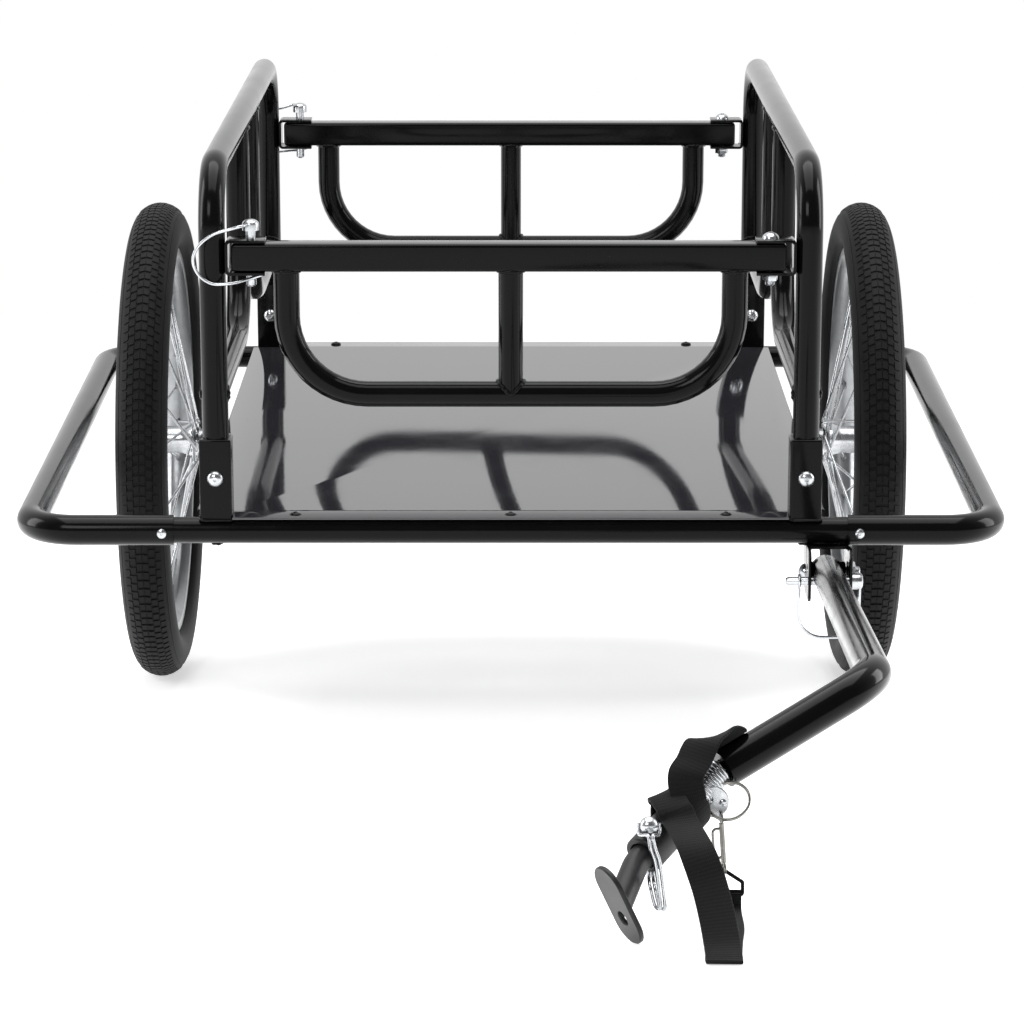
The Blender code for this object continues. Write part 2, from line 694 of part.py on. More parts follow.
def hub_with_spokes(x):
    end = HUB_LENGTH / 2
    middle = HUB_FLANGE_SPACING / 2
    near = middle - HUB_FLANGE_SHEET / 2
    far = middle + HUB_FLANGE_SHEET / 2
    bore = AXLE / 2 + HUB_PLAY
    side = [(bore, end), (HUB_NECK / 2, end), (HUB_NECK / 2, far), (HUB_FLANGE / 2, far),
            (HUB_FLANGE / 2, near), (HUB_BARREL / 2, near)]
    other = [(radius, -height) for radius, height in reversed(side)]
    made = meshed(turned(side + other, (x, 0, 0), (1, 0, 0), 20, closed=True))
    bed = (RIM_RADIUS - RIM_DEPTH) * math.cos(math.pi / WHEEL_STEPS) - SEAT_GAP
    hole = HUB_FLANGE / 2 - SPOKE_HOLE_INSET
    lean = math.tau * SPOKE_CROSSES / SPOKE_COUNT * 2
    for i in range(SPOKE_COUNT):
        at_rim = math.tau * (i + HALF_SHARE) / SPOKE_COUNT
        at_hub = at_rim + (lean if i // 2 % 2 else -lean)
        flange = x + (middle if i % 2 else -middle)
        join(made, rod((flange, hole * math.cos(at_hub), hole * math.sin(at_hub)),
                       (x, bed * math.cos(at_rim), bed * math.sin(at_rim)), SPOKE, 5))
    return made


# Axles: a fixed spindle with its cones, and a nut on the far side of each wheel plate

inner_face = SIDE_X + FRAME_TUBE / 2 + WELD_GAP
outer_face = GUARD_X - GUARD_TUBE / 2 - WELD_GAP


def axle(way):
    low = inner_face - SEAT_GAP
    high = outer_face + SEAT_GAP
    spindle = rod((way * (low - AXLE_NUT_HEIGHT - THREAD_END), 0, 0),
                  (way * (high + AXLE_NUT_HEIGHT + THREAD_END), 0, 0), AXLE)
    gap = HUB_LENGTH / 2 + HUB_PLAY
    return join(spindle,
                nut((way * low, 0, 0), (way * (low - AXLE_NUT_HEIGHT), 0, 0), AXLE_NUT),
                nut((way * high, 0, 0), (way * (high + AXLE_NUT_HEIGHT), 0, 0), AXLE_NUT),
                rod((way * (inner_face + PLATE_SHEET + SEAT_GAP), 0, 0), (way * (WHEEL_X - gap), 0, 0),
                    AXLE_CONE),
                rod((way * (WHEEL_X + gap), 0, 0), (way * (outer_face - PLATE_SHEET - SEAT_GAP), 0, 0),
                    AXLE_CONE))


def wheel_plate(x):
    # A tapered plate with a slot, open below, that the axle drops out of
    half = WHEEL_PLATE_LENGTH / 2
    foot = WHEEL_PLATE_FOOT / 2
    top = FRAME_Z + WHEEL_PLATE_RISE
    slot = AXLE / 2 + FIT_PLAY
    arcs = 8
    arch = [(slot * math.cos(math.pi * i / arcs), slot * math.sin(math.pi * i / arcs))
            for i in range(arcs + 1)]
    outline = [(foot, -WHEEL_PLATE_DEPTH), (half, 0), (half, top), (-half, top), (-half, 0),
               (-foot, -WHEEL_PLATE_DEPTH), (-slot, -WHEEL_PLATE_DEPTH)]
    outline += list(reversed(arch)) + [(slot, -WHEEL_PLATE_DEPTH)]
    return plate(outline, PLATE_SHEET, frame_at((x, 0, 0), (0, 1, 0), UP))


for side, way in SIDES:
    put(tyre(way * WHEEL_X), "tyre_" + side, rubber, wheel_axis[side])
    put(rim(way * WHEEL_X), "rim_" + side, alloy, wheel_axis[side])
    put(hub_with_spokes(way * WHEEL_X), "hub_spokes_" + side, zinc, wheel_axis[side])
    put(axle(way), "axle_" + side, zinc, trailer)
    for name, face in (("inner", inner_face + PLATE_SHEET / 2), ("outer", outer_face - PLATE_SHEET / 2)):
        put(wheel_plate(way * face), "wheel_plate_%s_%s" % (name, side), black_paint, trailer)


# Hitch bracket: a folded U of plate under the front cross tube, with its bolt and lock pin

def hitch_bracket():
    top = FRAME_Z - FRAME_TUBE / 2 - WELD_GAP
    rear = HITCH_Y + CLEVIS_REAR
    front = rear - CLEVIS_LENGTH
    low = HITCH_Z - CLEVIS_BELOW
    inside = CLEVIS_INSIDE / 2
    reach = CLEVIS_HALF + OVERRUN
    made = block((HITCH_X - CLEVIS_HALF, front, low), (HITCH_X + CLEVIS_HALF, rear, top))
    cut(made,
        block((HITCH_X - inside, front - OVERRUN, low - OVERRUN),
              (HITCH_X + inside, rear + OVERRUN, top - CLEVIS_SHEET)),
        rod((GUARD_INNER_END - WELD_GAP, TUBE_FRONT, FRAME_Z), (HITCH_X + reach, TUBE_FRONT, FRAME_Z),
            GUARD_TUBE + 2 * WELD_GAP),
        rod((HITCH_X - reach, HITCH_Y, HITCH_Z), (HITCH_X + reach, HITCH_Y, HITCH_Z),
            PIVOT_BOLT + 2 * FIT_PLAY, BOLT_SIDES),
        rod((HITCH_X - reach, LOCK_Y, HITCH_Z), (HITCH_X + reach, LOCK_Y, HITCH_Z),
            HITCH_LOCK + 2 * FIT_PLAY, BOLT_SIDES))
    return made


def hitch_lock():
    # The bracket's lock pin, drawn short of the arm, with its wire loop over the bracket's top
    right = HITCH_X + CLEVIS_HALF
    left = HITCH_X - CLEVIS_HALF
    inside = CLEVIS_INSIDE / 2
    wire_right = right + HITCH_LOCK
    wire_left = left - HITCH_LOCK
    top = FRAME_Z - FRAME_TUBE / 2 - WELD_GAP + HITCH_LOOP_RISE + LOOP_WIRE / 2
    route = bent([(wire_right, LOCK_Y, HITCH_Z), (wire_right, LOCK_Y, top), (wire_left, LOCK_Y, top),
                  (wire_left, LOCK_Y, HITCH_Z)], HITCH_LOOP_BEND)
    return join(rod((HITCH_X + inside, LOCK_Y, HITCH_Z), (wire_right, LOCK_Y, HITCH_Z), HITCH_LOCK,
                    BOLT_SIDES),
                rod((right + SEAT_GAP, LOCK_Y, HITCH_Z), (wire_right + LOOP_WIRE, LOCK_Y, HITCH_Z),
                    HITCH_LOCK_HEAD, BOLT_SIDES),
                rod((HITCH_X - inside, LOCK_Y, HITCH_Z), (left - HITCH_LOCK_END, LOCK_Y, HITCH_Z), HITCH_LOCK,
                    BOLT_SIDES),
                tube(route, LOOP_WIRE, WIRE_SIDES))


put(hitch_bracket(), "hitch_bracket", black_paint, trailer)
made = bolt((HITCH_X - CLEVIS_HALF, HITCH_Y, HITCH_Z), (-1, 0, 0), 2 * CLEVIS_HALF, PIVOT_BOLT, AXLE_NUT,
            SMALL_NUT_HEIGHT)
put(made, "hitch_pivot_bolt", zinc, trailer)
put(hitch_lock(), "hitch_lock_pin", zinc, trailer)


# Tow arm: a tube with one elbow and a bush across it for the pivot bolt

def from_deck(spot):
    return Vector(spot) + UP * DECK_TOP


pivot = Vector((HITCH_X, HITCH_Y, HITCH_Z))
elbow = from_deck(ARM_ELBOW)
arm_tip = from_deck(ARM_TIP)
sleeve_rear = from_deck(SLEEVE_REAR)
sleeve_front = from_deck(SLEEVE_FRONT)
plate_centre = from_deck(HITCH_PLATE)
first = (elbow - pivot).normalized()
along_sleeve = (sleeve_front - sleeve_rear).normalized()


def tow_arm():
    made = tube(bent([pivot - first * ARM_TAIL, elbow, arm_tip], ARM_BEND), ARM_TUBE, 16)
    bush = CLEVIS_INSIDE / 2 - FIT_PLAY
    reach = ARM_TUBE + OVERRUN
    join(made, rod((HITCH_X - bush, HITCH_Y, HITCH_Z), (HITCH_X + bush, HITCH_Y, HITCH_Z), PIVOT_BUSH))
    return cut(made,
               rod((HITCH_X - reach, HITCH_Y, HITCH_Z), (HITCH_X + reach, HITCH_Y, HITCH_Z),
                   PIVOT_BOLT + 2 * FIT_PLAY, BOLT_SIDES),
               rod((HITCH_X - reach, LOCK_Y, HITCH_Z), (HITCH_X + reach, LOCK_Y, HITCH_Z),
                   HITCH_LOCK + 2 * FIT_PLAY, BOLT_SIDES))


put(tow_arm(), "hitch_arm", black_paint, hitch_axis)

# Coupling: a close-wound spring round a core, curving from the arm's end to the sleeve
second = (arm_tip - elbow).normalized()
core_start = arm_tip + second * WELD_GAP
core_end = sleeve_rear - along_sleeve * WELD_GAP
core_reach = (core_end - core_start).length / 3


def core_at(t):
    # The curve's place and direction at a share of its way
    spots = (core_start, core_start + second * core_reach, core_end - along_sleeve * core_reach, core_end)
    near = [a.lerp(b, t) for a, b in zip(spots, spots[1:])]
    last = [a.lerp(b, t) for a, b in zip(near, near[1:])]
    return last[0].lerp(last[1], t), (last[1] - last[0]).normalized()


def spring():
    length = (core_end - core_start).length - SPRING_WIRE - 2 * FIT_PLAY
    margin = (SPRING_WIRE / 2 + FIT_PLAY) / (core_end - core_start).length
    turns = int(length / SPRING_PITCH)
    steps = 10
    radius = (SPRING_OUTER - SPRING_WIRE) / 2
    route = []
    for i in range(turns * steps + 1):
        spot, way = core_at(margin + (1 - 2 * margin) * i / (turns * steps))
        across = way.cross(UP).normalized()
        angle = math.tau * i / steps
        route.append(spot + (across * math.cos(angle) + way.cross(across) * math.sin(angle)) * radius)
    return tube(route, SPRING_WIRE, WIRE_SIDES)


core_steps = 5
core_route = [core_start, core_start + second * SPRING_WIRE]
core_route += [core_at(i / core_steps)[0] for i in range(1, core_steps)]
core_route += [core_end - along_sleeve * SPRING_WIRE, core_end]
put(tube(core_route, SPRING_CORE), "spring_core", black_paint, hitch_axis)
put(spring(), "coupling_spring", zinc, hitch_axis)

# Sleeve, and the plug-in rod with its hitch plate
pin_spot = sleeve_front - along_sleeve * PIN_INSET
pin_hole_half = SLEEVE_TUBE / 2 + OVERRUN


def pin_hole():
    return rod(pin_spot - PIN_AXIS * pin_hole_half, pin_spot + PIN_AXIS * pin_hole_half,
               COUPLING_PIN + 2 * FIT_PLAY, BOLT_SIDES)


sleeve = rod(sleeve_rear, sleeve_front, SLEEVE_TUBE, 16)
cut(sleeve,
    rod(sleeve_front - along_sleeve * SLEEVE_BORE_DEPTH, sleeve_front + along_sleeve * OVERRUN,
        SLEEVE_BORE, 16),
    pin_hole())
put(sleeve, "coupling_sleeve", black_paint, hitch_axis)

plate_across = PLATE_DOWN.cross(PLATE_FACE).normalized()
plate_frame = frame_at(plate_centre, plate_across, PLATE_DOWN)
plate_outline = rounded(rectangle(HITCH_PLATE_WIDTH / 2, HITCH_PLATE_LENGTH / 2),
                        HITCH_PLATE_WIDTH / 2 * PLATE_END_SHARE)
hitch_plate = plate(plate_outline, HITCH_PLATE_SHEET, plate_frame)
plate_corners = [v.co.copy() for v in hitch_plate.data.vertices]


def coupling_rod():
    # The rod runs out of the sleeve and ends in the middle of the plate's thickness
    lead = sleeve_front + along_sleeve * PIN_INSET
    stem = tube(bent([sleeve_front - along_sleeve * ROD_IN_SLEEVE, lead,
                      plate_centre + (plate_centre - lead).normalized() * ROD], ROD_BEND), ROD)
    cut(stem,
        plate(rectangle(HITCH_PLATE_LENGTH, HITCH_PLATE_LENGTH), HITCH_PLATE_LENGTH,
              frame_at(plate_centre + PLATE_FACE * HITCH_PLATE_LENGTH / 2, plate_across, PLATE_DOWN)),
        pin_hole())
    join(stem, hitch_plate)
    hole = plate_centre + PLATE_DOWN * (HITCH_PLATE_LENGTH / 2 - HITCH_PLATE_HOLE_INSET)
    reach = PLATE_FACE * (HITCH_PLATE_SHEET + FIT_PLAY)
    return cut(stem, rod(hole - reach, hole + reach, HITCH_PLATE_HOLE, BOLT_SIDES))


put(coupling_rod(), "coupling_rod", black_paint, hitch_axis)

# How it parks: the nose-down turn about the axle that brings the plate's tip to the floor
park_tilt = min(math.asin(TYRE_RADIUS / math.hypot(p.y, p.z)) - math.atan2(-p.z, -p.y)
                for p in plate_corners)


def floor_under(y):
    return (-TYRE_RADIUS - y * math.sin(park_tilt)) / math.cos(park_tilt)


# The coupling's wire-lock pin
def coupling_pin():
    top = pin_spot + PIN_AXIS * COUPLING_PIN_TOP
    low = pin_spot - PIN_AXIS * COUPLING_PIN_TAIL
    loop = [top - PIN_AXIS * COUPLING_PIN_HEAD / 2]
    loop += [from_deck(spot) for spot in COUPLING_LOOP]
    loop += [low + PIN_AXIS * LOOP_WIRE]
    arcs = 6
    half = COUPLING_PIN_HEAD / 2
    ball = [(half * math.sin(math.pi * i / arcs), half * math.cos(math.pi * i / arcs))
            for i in range(arcs + 1)]
    head = meshed(turned(ball, top - PIN_AXIS * half, PIN_AXIS, BOLT_SIDES))
    return join(rod(low, top - PIN_AXIS * half, COUPLING_PIN, BOLT_SIDES), head,
                tube(bent(loop, LOOP_BEND * HALF_SHARE, WIRE_ARC_STEP), LOOP_WIRE, WIRE_SIDES))


put(coupling_pin(), "coupling_pin", zinc, hitch_axis)

# Tab under the spring, with the split ring, snap hook and strap ring that hang from it in turn
link_gap = (HOOK_WIRE + RING_WIRE) / 2 + FIT_PLAY
tab_spot = from_deck(TAB_CENTRE)
ring_spot = tab_spot + (RING_WAY * math.cos(RING_ANGLE) - UP * math.sin(RING_ANGLE)) * RING_RADIUS
hook_top = ring_spot - UP * (RING_RADIUS - link_gap)
hook_low = hook_top + HANG * HOOK_LENGTH
buckle_top = hook_low - HANG * (HOOK_WIRE + FIT_PLAY)
buckle_low = buckle_top + BUCKLE_DOWN * BUCKLE_HEIGHT


def closed_wire(corners, radius, wire):
    ring = []
    for i, corner in enumerate(corners):
        ring += arc_points(corners[i - 1], corner, corners[(i + 1) % len(corners)], radius, WIRE_ARC_STEP)
    return tube(ring, wire, WIRE_SIDES, closed=True)


def tab():
    outline = rounded(rectangle(TAB_RADIUS, TAB_RADIUS), TAB_RADIUS * PLATE_END_SHARE)
    made = plate(outline, TAB_SHEET, frame_at(tab_spot, (1, 0, 0), UP))
    reach = Vector((0, TAB_SHEET, 0))
    return cut(made, rod(tab_spot - reach, tab_spot + reach, TAB_HOLE, BOLT_SIDES))


ring_steps = 18
ring_route = [ring_spot + (RING_WAY * math.cos(math.tau * i / ring_steps)
                           + UP * math.sin(math.tau * i / ring_steps)) * RING_RADIUS
              for i in range(ring_steps)]
hook_half = HOOK_SIDE * HOOK_HALF_WIDTH
buckle_half = STRAP_ACROSS * BUCKLE_HALF_WIDTH
put(tab(), "spring_tab", zinc, hitch_axis)
put(tube(ring_route, RING_WIRE, WIRE_SIDES, closed=True), "split_ring", zinc, hitch_axis)
put(closed_wire([hook_top - hook_half, hook_top + hook_half, hook_low + hook_half, hook_low - hook_half],
                HOOK_HALF_WIDTH * PLATE_END_SHARE, HOOK_WIRE), "snap_hook", zinc, hitch_axis)
put(closed_wire([buckle_top - buckle_half, buckle_top + buckle_half, buckle_low + buckle_half,
                 buckle_low - buckle_half], BUCKLE_CORNER, HOOK_WIRE), "strap_ring", zinc, hitch_axis)


# Safety strap: a ribbon wound on the arm, laid over the sleeve, down to the floor and back to its ring

def strap_stations():
    # The strap's middle line, with the direction of its width at each station
    turn_up = (UP - second * second.z).normalized()
    turn_rear = turn_up.cross(second)
    turn_rear *= 1 if turn_rear.y > 0 else -1
    collar = arm_tip - second * COLLAR_INSET
    reach = ARM_TUBE / 2 + FIT_PLAY + STRAP_THICK / 2
    stations = []
    for i in range(COLLAR_STEPS + 1):
        angle = COLLAR_START + COLLAR_TURN * i / COLLAR_STEPS
        stations.append((collar + (turn_rear * math.cos(angle) + turn_up * math.sin(angle)) * reach, -second))
    for i, spot in enumerate(STRAP_ROUTE):
        centre = from_deck(spot)
        centre.z = max(centre.z, floor_under(centre.y) + STRAP_THICK)
        blend = max(0, 1 - (i + 1) * HALF_SHARE)
        stations.append((centre, (STRAP_ACROSS * (1 - blend) - second * blend).normalized()))
    wrap = HOOK_WIRE / 2 + STRAP_THICK / 2 + FIT_PLAY
    for i in range(WRAP_STEPS + 1):
        angle = math.pi * (i / WRAP_STEPS - PLATE_END_SHARE)
        stations.append((buckle_low + Vector((0, math.cos(angle), math.sin(angle))) * wrap, STRAP_ACROSS))
    return stations


def strap():
    stations = strap_stations()
    steps = len(stations) - 1
    made = solid(lambda body: bmesh.ops.create_grid(body, x_segments=1, y_segments=steps, size=1), "strap")
    for vertex in made.data.vertices:
        centre, across = stations[round((vertex.co.y + 1) / 2 * steps)]
        vertex.co = centre + across * STRAP_WIDTH / 2 * vertex.co.x
    thickness = made.modifiers.new("thickness", "SOLIDIFY")
    thickness.thickness = STRAP_THICK
    thickness.offset = 0
    return made


put(strap(), "safety_strap", webbing, hitch_axis)


# Set the trailer down on the floor, over the middle of its own shadow, with a flat of each tyre low

for side, way in SIDES:
    wheel_axis[side].rotation_euler.x = math.pi / WHEEL_STEPS - park_tilt
trailer.rotation_euler.x = park_tilt
bpy.context.view_layer.update()

graph = bpy.context.evaluated_depsgraph_get()
corners = []
for obj in parts.objects:
    if obj.type == "MESH":
        shape = obj.evaluated_get(graph)
        corners += [shape.matrix_world @ v.co for v in shape.to_mesh().vertices]
        shape.to_mesh_clear()
low = Vector(min(c[i] for c in corners) for i in range(3))
high = Vector(max(c[i] for c in corners) for i in range(3))
trailer.location = (-(low.x + high.x) / 2, -(low.y + high.y) / 2, -low.z)
bpy.context.view_layer.update()
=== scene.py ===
import math

import bmesh
import bpy
from mathutils import Matrix, Vector


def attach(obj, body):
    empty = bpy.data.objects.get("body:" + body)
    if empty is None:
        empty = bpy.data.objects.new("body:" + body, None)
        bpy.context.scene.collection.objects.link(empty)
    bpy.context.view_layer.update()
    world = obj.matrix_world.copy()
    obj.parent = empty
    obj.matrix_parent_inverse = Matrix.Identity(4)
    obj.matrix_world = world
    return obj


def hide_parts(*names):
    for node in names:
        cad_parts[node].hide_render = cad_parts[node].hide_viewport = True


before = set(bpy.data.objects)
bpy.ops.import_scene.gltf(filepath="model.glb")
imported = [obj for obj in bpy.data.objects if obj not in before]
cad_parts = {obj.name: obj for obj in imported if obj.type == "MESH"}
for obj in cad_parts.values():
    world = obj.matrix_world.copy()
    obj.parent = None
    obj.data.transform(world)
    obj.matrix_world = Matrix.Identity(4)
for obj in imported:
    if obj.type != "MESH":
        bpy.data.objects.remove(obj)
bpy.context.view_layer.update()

# The trailer is built level, with the origin between the wheels, and set down as it parks
parking = {"forward": 0.413308, "wheelRadius": 0.194, "noseDown": 8.342186}
parked = (Matrix.Translation((0, parking["forward"], parking["wheelRadius"]))
          @ Matrix.Rotation(math.radians(parking["noseDown"]), 4, "X"))
deckTop = 0.0295
sides = (("left", -1), ("right", 1))
rightward, rearward, upward = Vector((1, 0, 0)), Vector((0, 1, 0)), Vector((0, 0, 1))


def stage(text):
    print("scene:", text)


# Camera, floor, world and lights

look = {
    "cameraPlace": (0.0009, -2.9343, 0.6675),
    "cameraForward": (0.0, 0.9705, -0.2411),
    "cameraUp": (0.0, 0.2411, 0.9705),
    "lens": 128.8, "film": 36, "farthest": 50,
    "floorSize": 14.0, "floorColour": "#f4f4f4", "floorRough": 0.9, "floorShine": 0.1, "floorGlow": 0.55,
    "roomLight": 0.55, "roomBehind": 0.16, "roomBeyond": 1.0, "roomTurns": (-0.55, 0.35),
}
# Name, place, target, width, power and, where it isn't square, height
lights = (
    ("topLight", (0.0, -0.2, 2.6), (0, 0.2, 0), 2.4, 60, None),
    ("frontLight", (-1.2, -2.6, 1.6), (0, 0, 0.2), 1.2, 26, 1.0),
    ("leftLight", (-2.2, 0.2, 1.0), (0, 0.2, 0.2), 0.8, 20, 1.6),
    ("rightLight", (2.2, 0.2, 1.0), (0, 0.2, 0.2), 0.8, 20, 1.6),
)


def hexColour(code):
    # An sRGB hex colour as linear numbers
    out = []
    for i in (1, 3, 5):
        c = int(code[i:i + 2], 16) / 255
        out.append(c / 12.92 if c <= 0.04045 else ((c + 0.055) / 1.055) ** 2.4)
    return (*out, 1.0)


def addNode(tree, kind, values=None, links=None):
    # One node, with its settings and the sockets that feed it
    made = tree.nodes.new(kind)
    for key, value in (values or {}).items():
        if isinstance(key, int) or key in made.inputs:
            made.inputs[key].default_value = value
        else:
            setattr(made, key, value)
    for key, source in (links or {}).items():
        tree.links.new(source, made.inputs[key])
    return made


def setInputs(node, values):
    for key, value in values.items():
        node.inputs[key].default_value = value


def link(thing):
    bpy.context.scene.collection.objects.link(thing)


def setCamera():
    data = bpy.data.cameras.new("camera")
    data.lens = look["lens"]
    data.sensor_width = look["film"]
    data.clip_end = look["farthest"]
    camera = bpy.data.objects.new("camera", data)
    link(camera)
    back = -Vector(look["cameraForward"]).normalized()
    up = Vector(look["cameraUp"]).normalized()
    turn = Matrix((up.cross(back), up, back)).transposed().to_4x4()
    camera.matrix_world = parked @ Matrix.Translation(look["cameraPlace"]) @ turn
    bpy.context.scene.camera = camera


def addLight(name, place, target, width, power, height):
    data = bpy.data.lights.new(name, "AREA")
    data.energy = power
    data.size = width
    if height:
        data.shape = "RECTANGLE"
        data.size_y = height
    light = bpy.data.objects.new(name, data)
    light.location = place
    light.rotation_euler = (Vector(target) - Vector(place)).to_track_quat("-Z", "Y").to_euler()
    link(light)


def sightRays(tree):
    # A socket that is one for rays from the camera, shiny parts and glass, and the camera's own
    path = addNode(tree, "ShaderNodeLightPath")
    seen = addNode(tree, "ShaderNodeMath", {"operation": "MAXIMUM"},
                   {0: path.outputs["Is Camera Ray"], 1: path.outputs["Is Glossy Ray"]})
    clear = addNode(tree, "ShaderNodeMath", {"operation": "MAXIMUM"},
                    {0: seen.outputs[0], 1: path.outputs["Is Transmission Ray"]})
    return clear.outputs[0], path.outputs["Is Camera Ray"]


def setFloor():
    material = bpy.data.materials.new("paleFloor")
    material.use_nodes = True
    tree = material.node_tree
    shader = tree.nodes["Principled BSDF"]
    setInputs(shader, {"Base Color": hexColour(look["floorColour"]), "Roughness": look["floorRough"],
                       "Specular IOR Level": look["floorShine"]})
    # The camera and shiny parts see the floor whiter than it is lit
    clear = sightRays(tree)[0]
    glow = addNode(tree, "ShaderNodeMath", {"operation": "MULTIPLY", 1: look["floorGlow"]}, {0: clear})
    white = addNode(tree, "ShaderNodeEmission", {"Color": (1, 1, 1, 1)}, {"Strength": glow.outputs[0]})
    both = addNode(tree, "ShaderNodeAddShader", None, {0: shader.outputs[0], 1: white.outputs[0]})
    tree.links.new(both.outputs[0], tree.nodes["Material Output"].inputs["Surface"])
    half = look["floorSize"] / 2
    data = bpy.data.meshes.new("floor")
    data.from_pydata([(-half, -half, 0), (half, -half, 0), (half, half, 0), (-half, half, 0)], [],
                     [(0, 1, 2, 3)])
    data.materials.append(material)
    floor = bpy.data.objects.new("floor", data)
    link(floor)


def setWorld():
    world = bpy.data.worlds.new("studio")
    bpy.context.scene.world = world
    world.use_nodes = True
    tree = world.node_tree
    tree.nodes.clear()
    clear, camera = sightRays(tree)
    soft = addNode(tree, "ShaderNodeBackground", {"Color": (1, 1, 1, 1), "Strength": look["roomLight"]})
    # Shiny parts see a dim room behind the camera and a white one beyond the trailer
    ray = addNode(tree, "ShaderNodeTexCoord")
    parts = addNode(tree, "ShaderNodeSeparateXYZ", None, {0: ray.outputs["Generated"]})
    near, far = look["roomTurns"]
    room = addNode(tree, "ShaderNodeMapRange", {"From Min": near, "From Max": far, "To Min": look["roomBehind"],
                                                "To Max": look["roomBeyond"]}, {"Value": parts.outputs["Y"]})
    plain = addNode(tree, "ShaderNodeMath", {"operation": "MAXIMUM"}, {0: room.outputs[0], 1: camera})
    white = addNode(tree, "ShaderNodeBackground", {"Color": (1, 1, 1, 1)}, {"Strength": plain.outputs[0]})
    mix = addNode(tree, "ShaderNodeMixShader", None, {0: clear, 1: soft.outputs[0], 2: white.outputs[0]})
    addNode(tree, "ShaderNodeOutputWorld", None, {"Surface": mix.outputs[0]})
    bpy.context.scene.view_settings.view_transform = "Standard"


setCamera()
setFloor()
setWorld()
for light in lights:
    addLight(*light)
stage("camera, floor and light")


# Materials, each for one real finish and its slot in the record

def mm(size):
    # The scale of a texture whose features are that many millimetres wide
    return 1000.0 / size


def waves(size):
    # The scale of a wave texture with one band every so many millimetres
    return mm(size) * 2 / math.tau


def newMaterial(name):
    material = bpy.data.materials.new(name)
    material.use_nodes = True
    tree = material.node_tree
    return material, tree, tree.nodes["Principled BSDF"], addNode(tree, "ShaderNodeTexCoord")


def dress(tree, shader, colours, shade, grain, strength, depth):
    # Two colours mixed by the shade pattern, and the grain pattern raised as bump
    light, dark = colours
    tint = addNode(tree, "ShaderNodeMix", {"data_type": "RGBA", 6: hexColour(light), 7: hexColour(dark)},
                   {"Factor": shade})
    bump = addNode(tree, "ShaderNodeBump", {"Strength": strength, "Distance": depth}, {"Height": grain})
    tree.links.new(tint.outputs[2], shader.inputs["Base Color"])
    tree.links.new(bump.outputs[0], shader.inputs["Normal"])


def blackFinish(name, colours, roughness, shine, facing):
    # Sprayed and baked powder paint: near black, with a faint orange peel and a little uneven gloss
    material, tree, shader, spot = newMaterial(name)
    cloud = addNode(tree, "ShaderNodeTexNoise", {"Scale": mm(60), "Detail": 5.0, "Roughness": 0.6},
                    {"Vector": spot.outputs["Object"]})
    peel = addNode(tree, "ShaderNodeTexNoise", {"Scale": mm(2.5), "Detail": 3.0},
                   {"Vector": spot.outputs["Object"]})
    dress(tree, shader, colours, cloud.outputs["Fac"], peel.outputs["Fac"], 0.05, 0.0002)
    gloss = addNode(tree, "ShaderNodeMapRange", {"From Min": 0.35, "From Max": 0.75, "To Min": roughness[0],
                                                 "To Max": roughness[1]}, {"Value": cloud.outputs["Fac"]})
    setInputs(shader, {"Specular IOR Level": shine, "Specular Tint": (facing, facing, facing, 1)})
    tree.links.new(gloss.outputs[0], shader.inputs["Roughness"])
    return material


def metalFinish(name, colours, roughness):
    # Bare or plated metal: bright, with soft clouds where it is duller and a fine grain, drawn
    # coarser than a real one's so that it takes the edge off reflections
    material, tree, shader, spot = newMaterial(name)
    cloud = addNode(tree, "ShaderNodeTexNoise", {"Scale": mm(7), "Detail": 5.0, "Roughness": 0.65},
                    {"Vector": spot.outputs["Object"]})
    grain = addNode(tree, "ShaderNodeTexNoise", {"Scale": mm(0.6), "Detail": 2.0},
                    {"Vector": spot.outputs["Object"]})
    dress(tree, shader, colours, cloud.outputs["Fac"], grain.outputs["Fac"], 0.08, 0.0001)
    dull = addNode(tree, "ShaderNodeMapRange", {"From Min": 0.3, "From Max": 0.7, "To Min": roughness[0],
                                                "To Max": roughness[1]}, {"Value": cloud.outputs["Fac"]})
    shader.inputs["Metallic"].default_value = 1.0
    tree.links.new(dull.outputs[0], shader.inputs["Roughness"])
    return material


def tyreRubber():
    # Moulded black rubber: dull, a little dusty, with a fine skin
    material, tree, shader, spot = newMaterial("tyreRubber")
    dust = addNode(tree, "ShaderNodeTexNoise", {"Scale": mm(25), "Detail": 6.0, "Roughness": 0.7},
                   {"Vector": spot.outputs["Object"]})
    skin = addNode(tree, "ShaderNodeTexNoise", {"Scale": mm(0.8), "Detail": 3.0},
                   {"Vector": spot.outputs["Object"]})
    dress(tree, shader, ("#08080a", "#111113"), dust.outputs["Fac"], skin.outputs["Fac"], 0.25, 0.0002)
    setInputs(shader, {"Roughness": 0.6, "Specular IOR Level": 0.35, "Specular Tint": (0.4, 0.4, 0.4, 1)})
    return material


